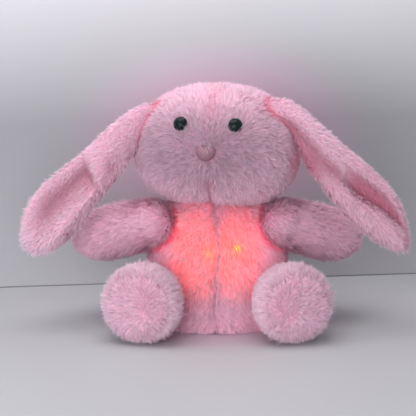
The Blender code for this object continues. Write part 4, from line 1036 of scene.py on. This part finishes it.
CAMERA_DISTANCE = 2.2
CAMERA_ELEVATION = math.radians(12)
CAMERA_SPAN = 0.416
CAMERA_FOCUS = Vector((-0.0095, -0.045, 0.1260))
SENSOR_WIDTH = 36


def stage_plane(name, corners, material):
    mesh = bpy.data.meshes.new(name)
    mesh.from_pydata([tuple(c) for c in corners], [], [(0, 1, 2, 3)])
    mesh.materials.append(material)
    obj = new_object(name, mesh)


def make_floor():
    """A grey floor with the toy's glow on it."""
    n = Nodes("stage_floor")
    near = n.fade(n.distance((0, 0, 0)), *FLOOR_GLOW_REACH)
    tone = n.mix(near, n.mix(n.noise(3.0), *FLOOR_TONES), FLOOR_GLOW, "MULTIPLY")
    n.dress(Base_Color=tone, Roughness=0.7)
    corners = [Vector((x, y, 0)) * FLOOR_HALF_SIZE for x, y in ((-1, -1), (1, -1), (1, 1), (-1, 1))]
    stage_plane("stage_floor", corners, n.made)


def make_wall():
    """A wall behind, with painted light and shade: lighter to the left and higher up, darker a little way up
    from its foot, a painted shadow along its foot, and the toy's pink glow painted about it. Its back can be
    seen through.
    """
    n = Nodes("stage_wall")
    x, _, z = n.places()
    tone = n.mix(n.noise(2.2), *WALL_TONES)
    # painted light to the left and higher up, painted shade rising from the foot, the toy's painted glow and
    # a painted shadow along the foot
    tone = n.mix(x.past(0.22, -0.9) * 0.12, tone, WALL_LEFT_LIGHT)
    tone = n.mix(z.past(0.0, 6.5), tone, WALL_RISING_SHADE, "MULTIPLY")
    tone = n.mix(z.past(0.180, 5.0), tone, WALL_HIGH_LIGHT)
    near = n.fade(n.distance(WALL_GLOW_MIDDLE, WALL_GLOW_STRETCH), *WALL_GLOW_REACH)
    tone = n.mix(n.maths("MINIMUM", near, 0.60), tone, WALL_GLOW, "MULTIPLY")
    tone = n.mix(n.maths("LESS_THAN", z, WALL_FOOT_SHADOW_HEIGHT) * 0.6, tone, WALL_FOOT_SHADOW)
    n.dress(Base_Color=tone, Roughness=0.8)
    behind = n.add("ShaderNodeNewGeometry", "Backfacing")
    away = n.add("ShaderNodeBsdfTransparent", 0)
    n.show(n.add("ShaderNodeMixShader", 0, {0: behind, 1: n.shader, 2: away}))
    run = (WALL_RIGHT - WALL_LEFT).normalized() * WALL_SIZE
    start, end, up = WALL_LEFT - run, WALL_RIGHT + run, Vector((0, 0, WALL_SIZE))
    stage_plane("stage_wall", [start, end, end + up, start + up], n.made)


def aimed(name, data, place, way):
    """A light or a camera at a place, pointed along a way."""
    obj = new_object(name, data)
    obj.location = place
    obj.rotation_mode = "QUATERNION"
    obj.rotation_quaternion = way.to_track_quat("-Z", "Y")
    return obj


def area_light(name, place, target, size, power, colour):
    data = bpy.data.lights.new(name, "AREA")
    data.shape = "DISK"
    data.size, data.energy, data.color = size, power, colour
    aimed(name, data, place, Vector(target) - Vector(place))


def make_lights():
    """A wide light overhead, a softer one ahead, and a dim bluish surround."""
    area_light("key", (-0.20, 0.00, 1.15), (0, -0.02, 0.15), 1.1, 12, (1.0, 0.99, 0.99))
    area_light("fill", (-0.45, -1.5, 0.30), (0, 0, 0.10), 1.4, 22, (0.98, 0.98, 1.0))
    world = bpy.data.worlds.new("studio")
    bpy.context.scene.world = world
    world.use_nodes = True
    back = world.node_tree.nodes["Background"]
    back.inputs["Color"].default_value = WORLD_COLOUR
    back.inputs["Strength"].default_value = WORLD_STRENGTH


def make_camera():
    data = bpy.data.cameras.new("camera")
    data.sensor_width = SENSOR_WIDTH
    data.lens = data.sensor_width * CAMERA_DISTANCE / CAMERA_SPAN
    data.clip_end = 20
    back = Vector((0, -math.cos(CAMERA_ELEVATION), math.sin(CAMERA_ELEVATION)))
    bpy.context.scene.camera = aimed("camera", data, CAMERA_FOCUS + back * CAMERA_DISTANCE, -back)


# Making

make_camera()
make_floor()
make_wall()
make_lights()

skins = {"body": body_skin(), "head": head_skin()}
for kind, make in (("ear", ear_skin), ("arm", arm_skin), ("leg", leg_skin), ("sole", sole_skin)):
    for side_name in SIDES:
        skins[f"{kind}_{side_name}"] = make(side_name)
skins["tail"] = tail_skin()
skins["back_flap"] = flap_skin()
BODY_OF = {piece: piece for piece in skins}
BODY_OF.update({"sole_left": "leg_left", "sole_right": "leg_right", "tail": "body"})

cloth = cloth_material("plush_backing")
cloth_lit = cloth_material("plush_backing_lit", glow=True)
cloth_pale = cloth_material("plush_backing_pale", pinks=PALE_CLOTH_PINKS)
CLOTHS = {"body": cloth_lit, "sole": cloth_pale, "ear": cloth_pale, "head": cloth_pale}
pile = pile_material("plush_pile")
pile_face = pile_material("plush_pile_face", paler=0.40, contrast=0.72, shaded_muzzle=True)
pile_lit = pile_material("plush_pile_lit", glow=True, crease_light=0.20)
pile_arm = pile_material("plush_pile_arm", crease_light=0.22)
pile_sole = pile_material("plush_pile_sole", paler=0.50, root=SOLE_ROOT_PINK, contrast=0.60)
pile_pale = pile_material("plush_pile_pale", paler=0.82, root=PALE_ROOT_PINK, contrast=0.56)


def kind_of(piece):
    return piece.split("_")[0]


for piece, skin in skins.items():
    skin.data.materials.append(CLOTHS.get(kind_of(piece), cloth))
    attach(skin, BODY_OF[piece])
    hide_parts(piece)

trees = {piece: tree_of(skin) for piece, skin in skins.items()}
SEWN_FLUSH = ({"leg_left", "sole_left"}, {"leg_right", "sole_right"}, {"body", "back_flap"})

# How far the painted shade and light of a crease reach between two kinds of pieces, how sharply they end, how
# deep the shade is
PLAIN_CREASE = (0.0066, 2, 1.0)
CREASES = {
    "arm body": (0.0070, 4, 1.0), "ear head": (0.0046, 4, 1.0), "arm ear": (0.0132, 2, 1.0),
    "body leg": (0.0080, 2, 1.0), "body head": (0.0060, 2, 0.55), "arm head": (0.0060, 2, 0.75),
}

EYE_SPOTS = [np.array(on_face(side * EYE_SPREAD, EYE_RISE)) for side in SIDES.values()]
NOSE_SPOT = np.array(on_face(0, NOSE_RISE))
DOWN = np.array((0.0, 0.0, -1.0))
NOSE_FRINGE_SPOT = NOSE_SPOT + np.array((0, 0, 0.0088))
NOSE_FRINGE_RADIUS = 0.0050


def seam_marks(points, piece):
    """Where the head's and the body's front seams run, from 0 to 1."""
    if piece == "head":
        local = apply_frame(head_frame().inverted(), points)
        under_nose = np.clip((-0.018 - local[:, 2]) / 0.006, 0, 1)
        return bump(local[:, 0], 0.0, SEAM_MARK_WIDTH) * (local[:, 1] < 0) * under_nose
    seam_x, bent = seam_place(points[:, 2])
    return bump(points[:, 0], seam_x, SEAM_MARK_WIDTH) * (points[:, 1] < 0) * (1 - 0.9 * bent)


def mark_shade_and_seams(piece):
    """Marks painted shade: deep pink with a little painted light, by how close each point of a skin lies to
    its neighbours, in the ears' hollows and towards the head's lower sides; a pinker streak on the crown and
    along the chin's seam; and the darker painted shade of the ears, the legs' tops and the seams.
    """
    mesh = skins[piece].data
    marks = np.zeros(len(mesh.vertices))
    for other, (tree, _, _) in trees.items():
        if other == piece or {piece, other} in SEWN_FLUSH:
            continue
        pair = " ".join(sorted((kind_of(piece), kind_of(other))))
        reach, steepness, most = CREASES.get(pair, PLAIN_CREASE)
        for i, vertex in enumerate(mesh.vertices):
            spot, facing, _, gap = tree.find_nearest(vertex.co, reach * 2.5)
            if spot is not None:
                buried = (vertex.co - spot).dot(facing) < 0
                marks[i] = max(marks[i], most if buried else most * math.exp(-(gap / reach) ** steepness))
    points = np.array([vertex.co[:] for vertex in mesh.vertices])
    shade = np.zeros(len(points))
    if kind_of(piece) == "ear":
        shade = read_value(mesh, "hollow")
        marks = np.maximum(marks, 0.60 * shade)
    elif kind_of(piece) == "leg":
        # painted shade, darker towards the legs' tops
        shade = 0.35 * np.clip((points[:, 2] - 0.035) / 0.03, 0, 1)
    elif piece == "body":
        shade = 0.30 * seam_marks(points, piece)
    elif piece == "head":
        seam = seam_marks(points, piece)
        shade = 0.6 * seam
        x, y, z = apply_frame(head_frame().inverted(), points).T
        # painted shade: deeper pink towards the head's lower sides
        rim = ease(np.abs(x) / HEAD_HALF_WIDTH, 0.84, 0.99)
        rim = rim * ease(-z, -0.015, 0.010) * ease(-y, -0.012, 0.010)
        crown = bump(x, 0.002, 0.0065) * bump(z, 0.046, 0.014) * (y < 0)
        marks = np.maximum.reduce([marks, 0.80 * rim, 0.36 * crown, 0.38 * seam])
    add_value(mesh, "painted_shade_and_seam_pink", marks)
    add_value(mesh, "shade", shade)


for piece in skins:
    mark_shade_and_seams(piece)


def comb_down(points):
    return DOWN


def comb_head(points):
    """Away from the nose, and down towards the neck."""
    reach = gap_to(points, NOSE_SPOT)[:, None]
    return unit(points - NOSE_SPOT) + DOWN * np.clip((reach - 0.03) / 0.06, 0, 1) * 0.9


def comb_body(points):
    """Down, and a little away from the seam. Outwards at the floor."""
    way = np.zeros_like(points)
    way[:, 2] = -1
    aside = points[:, 0] - seam_place(points[:, 2])[0]
    way[:, 0] = 0.45 * np.sign(aside) * np.exp(-np.abs(aside) / 0.012)
    flat = unit(points * np.array((1, 1, 0)))
    return way + flat * (np.where(points[:, 1:2] < 0, 3.0, 0.9) * np.clip(1 - points[:, 2:] / 0.012, 0, 1))


def ear_spot(side_name, row, end):
    """The middle of a row of an ear's edges, at the depth of its root (end 0) or of its tip (end 1)."""
    return from_view(*np.mean(EAR_EDGES[side_name][row], axis=0), EAR_DEPTHS[side_name][end])


def comb_ear(side_name):
    """Along the ear, and a little out to its edges."""
    start = ear_spot(side_name, 0, 0)
    way = unit(ear_spot(side_name, -1, 1) - start)

    def comb(points):
        line = start + way * np.sum((points - start) * way, axis=1, keepdims=True)
        return way + unit(points - line) * 0.30
    return comb


def longer_at_tip(side_name):
    """The ear's pile hangs in longer tufts at its tip."""
    tip, root = ear_spot(side_name, -1, 1), ear_spot(side_name, 1, 0)

    def length_of(points):
        from_tip, from_root = gap_to(points, tip), gap_to(points, root)
        return 1 + 0.55 * np.clip(1 - from_tip / 0.026, 0, 1) - 0.30 * np.clip(1.3 - from_root / 0.024, 0, 1)
    return length_of


def comb_arm(side):
    """Along the arm and a little down, and out of the crease on its round inner end."""
    matrix = arm_frame(side)
    axis, origin = axis_of(matrix), np.array(matrix.translation)
    out = np.array((side, -0.55, -0.30))

    def comb(points):
        inner = np.clip(1 - ((points - origin) @ axis) / 0.030, 0, 1)[:, None]
        return (axis + DOWN * 0.25) * (1 - inner) + out * inner
    return comb


def comb_radial(matrix, lean=0.0):
    """Outwards from a frame's axis, and leaning along it."""
    axis, origin = axis_of(matrix), np.array(matrix.translation)

    def comb(points):
        away = points - origin
        away = away - np.outer(away @ axis, axis)
        return unit(away) + axis * lean + DOWN * 0.08
    return comb


def comb_sole(side):
    """Out towards the rim, and all one way in the middle."""
    matrix = leg_frame(side)
    radial, origin = comb_radial(matrix), np.array(matrix.translation)

    def comb(points):
        reach = gap_to(points, origin)[:, None]
        share = np.clip(np.sqrt(np.maximum(reach ** 2 - LEG_LENGTH ** 2, 0)) / SOLE_RADIUS, 0, 1) ** 1.5
        return radial(points) * share + np.array((0.30 * side, 0, 0.50)) * (1 - share)
    return comb


def face_clear(points):
    """No pile under the eyes and the nose."""
    keep = gap_to(points, NOSE_SPOT, (1, 1, 1.15)) > NOSE_HALF_WIDTH * 0.78
    for spot in EYE_SPOTS:
        keep &= gap_to(points, spot) > EYE_RADIUS * 0.80
    return keep


def next_to(points, spot, radius):
    """A bell about the edge of a round thing at a spot."""
    return bump(gap_to(points, spot) - radius, 0.001, 0.004)


def face_length(points):
    """Longer pile next to the eyes and the nose, shorter on the seam."""
    length = 1 + 0.20 * sum(next_to(points, spot, EYE_RADIUS) for spot in EYE_SPOTS)
    length = length + 0.20 * next_to(points, NOSE_SPOT, NOSE_HALF_WIDTH)
    return length * (1 - 0.30 * seam_marks(points, "head"))


def face_lift(points):
    """Degrees by which the pile stands up around the eyes, so that it laps over their edges."""
    return 14 * sum(next_to(points, spot, EYE_RADIUS) for spot in EYE_SPOTS)


def body_length(points):
    """Shorter pile on the seam, longer at the floor in front."""
    return 1 - 0.2 * seam_marks(points, "body") + 0.5 * ((points[:, 2] < 0.009) & (points[:, 1] < 0))


def half(sign):
    """The pile of a big piece is made as a front part and a back part."""
    return lambda points: (points[:, 1] * sign) > -0.008 * sign


def both(*tests):
    return lambda points: np.logical_and.reduce([test(points) for test in tests])


def under_flap(points):
    across = (np.abs(points[:, 0]) < FLAP_HALF_WIDTH - 0.001) & (points[:, 1] > 0)
    return across & (points[:, 2] > FLAP_BOTTOM) & (points[:, 2] < FLAP_TOP)


def body_clear(points):
    """No pile of the body's own under the back flap or on the floor."""
    return off_floor(points) & ~under_flap(points)


def off_floor(points):
    return points[:, 2] > 0.0026


def flap_outside(points):
    return points[:, 1] > body_back(points[:, 0], points[:, 2]) + 0.0029


def over_nose(points):
    """Places just over the nose as seen from straight ahead, whose pile hangs over its edge."""
    return (gap_to(points, NOSE_FRINGE_SPOT, (1, 0, 1)) < NOSE_FRINGE_RADIUS) & (points[:, 1] < 0)


def pile_on(piece, comb, seed, material, part="", sewn_to="", **settings):
    """A piece's own pile, clear of all skins but its own and one that it is sewn flush to."""
    clear_of = [tree for other, tree in trees.items() if other not in (piece, sewn_to)]
    grow_pile(f"{piece}_pile{part}", skins[piece], BODY_OF[piece], comb, seed, material, clear_of, **settings)


for part, sign, face_look, body_look in (("_front", -1, pile_face, pile_lit), ("_back", 1, pile, pile)):
    pile_on("head", comb_head, 11 + sign, face_look, part, keep=both(half(sign), face_clear),
            length=0.0084, length_of=face_length, lift_of=face_lift,
            ruffle=0.55, stray=0.36, clump_mm2=2.2, clumping=0.42)
    pile_on("body", comb_body, 21 + sign, body_look, part, keep=both(half(sign), body_clear),
            length_of=body_length, ruffle=0.42, stray=0.34, clump_mm2=2.3, clumping=0.40)
for side_name, side in SIDES.items():
    leg, sole = f"leg_{side_name}", f"sole_{side_name}"
    pile_on(f"ear_{side_name}", comb_ear(side_name), 31 + side, pile_pale,
            length=0.0072, length_of=longer_at_tip(side_name), clump_mm2=2.6, uneven=0.08, soft=0.5)
    pile_on(f"arm_{side_name}", comb_arm(side), 41 + side, pile_arm)
    pile_on(leg, comb_radial(leg_frame(side), -0.35), 51 + side, pile_pale, sewn_to=sole, keep=off_floor,
            length=0.0080, rise=(50, 28), clump_mm2=2.0, clumping=0.45, uneven=0.18)
    pile_on(sole, comb_sole(side), 61 + side, pile_sole, sewn_to=leg,
            length=0.0074, rise=(56, 30), ruffle=0.5, stray=0.34)
tail_comb = comb_radial(frame_at((0, 0.05, TAIL_HEIGHT), (0, 1, 0)))
pile_on("tail", tail_comb, 71, pile, length=0.0070, rise=(70, 48))
grow_pile("back_flap_pile", skins["back_flap"], "back_flap", comb_down, 81, pile,
          keep=flap_outside, length=0.0076)
grow_pile("nose_fringe", skins["head"], "head", comb_down, 91, pile_face,
          keep=over_nose, length=0.0120, rise=(88, 24), clumping=0.2)

dress_nodes()

scene_view = bpy.context.scene.view_settings
scene_view.view_transform = "Standard"
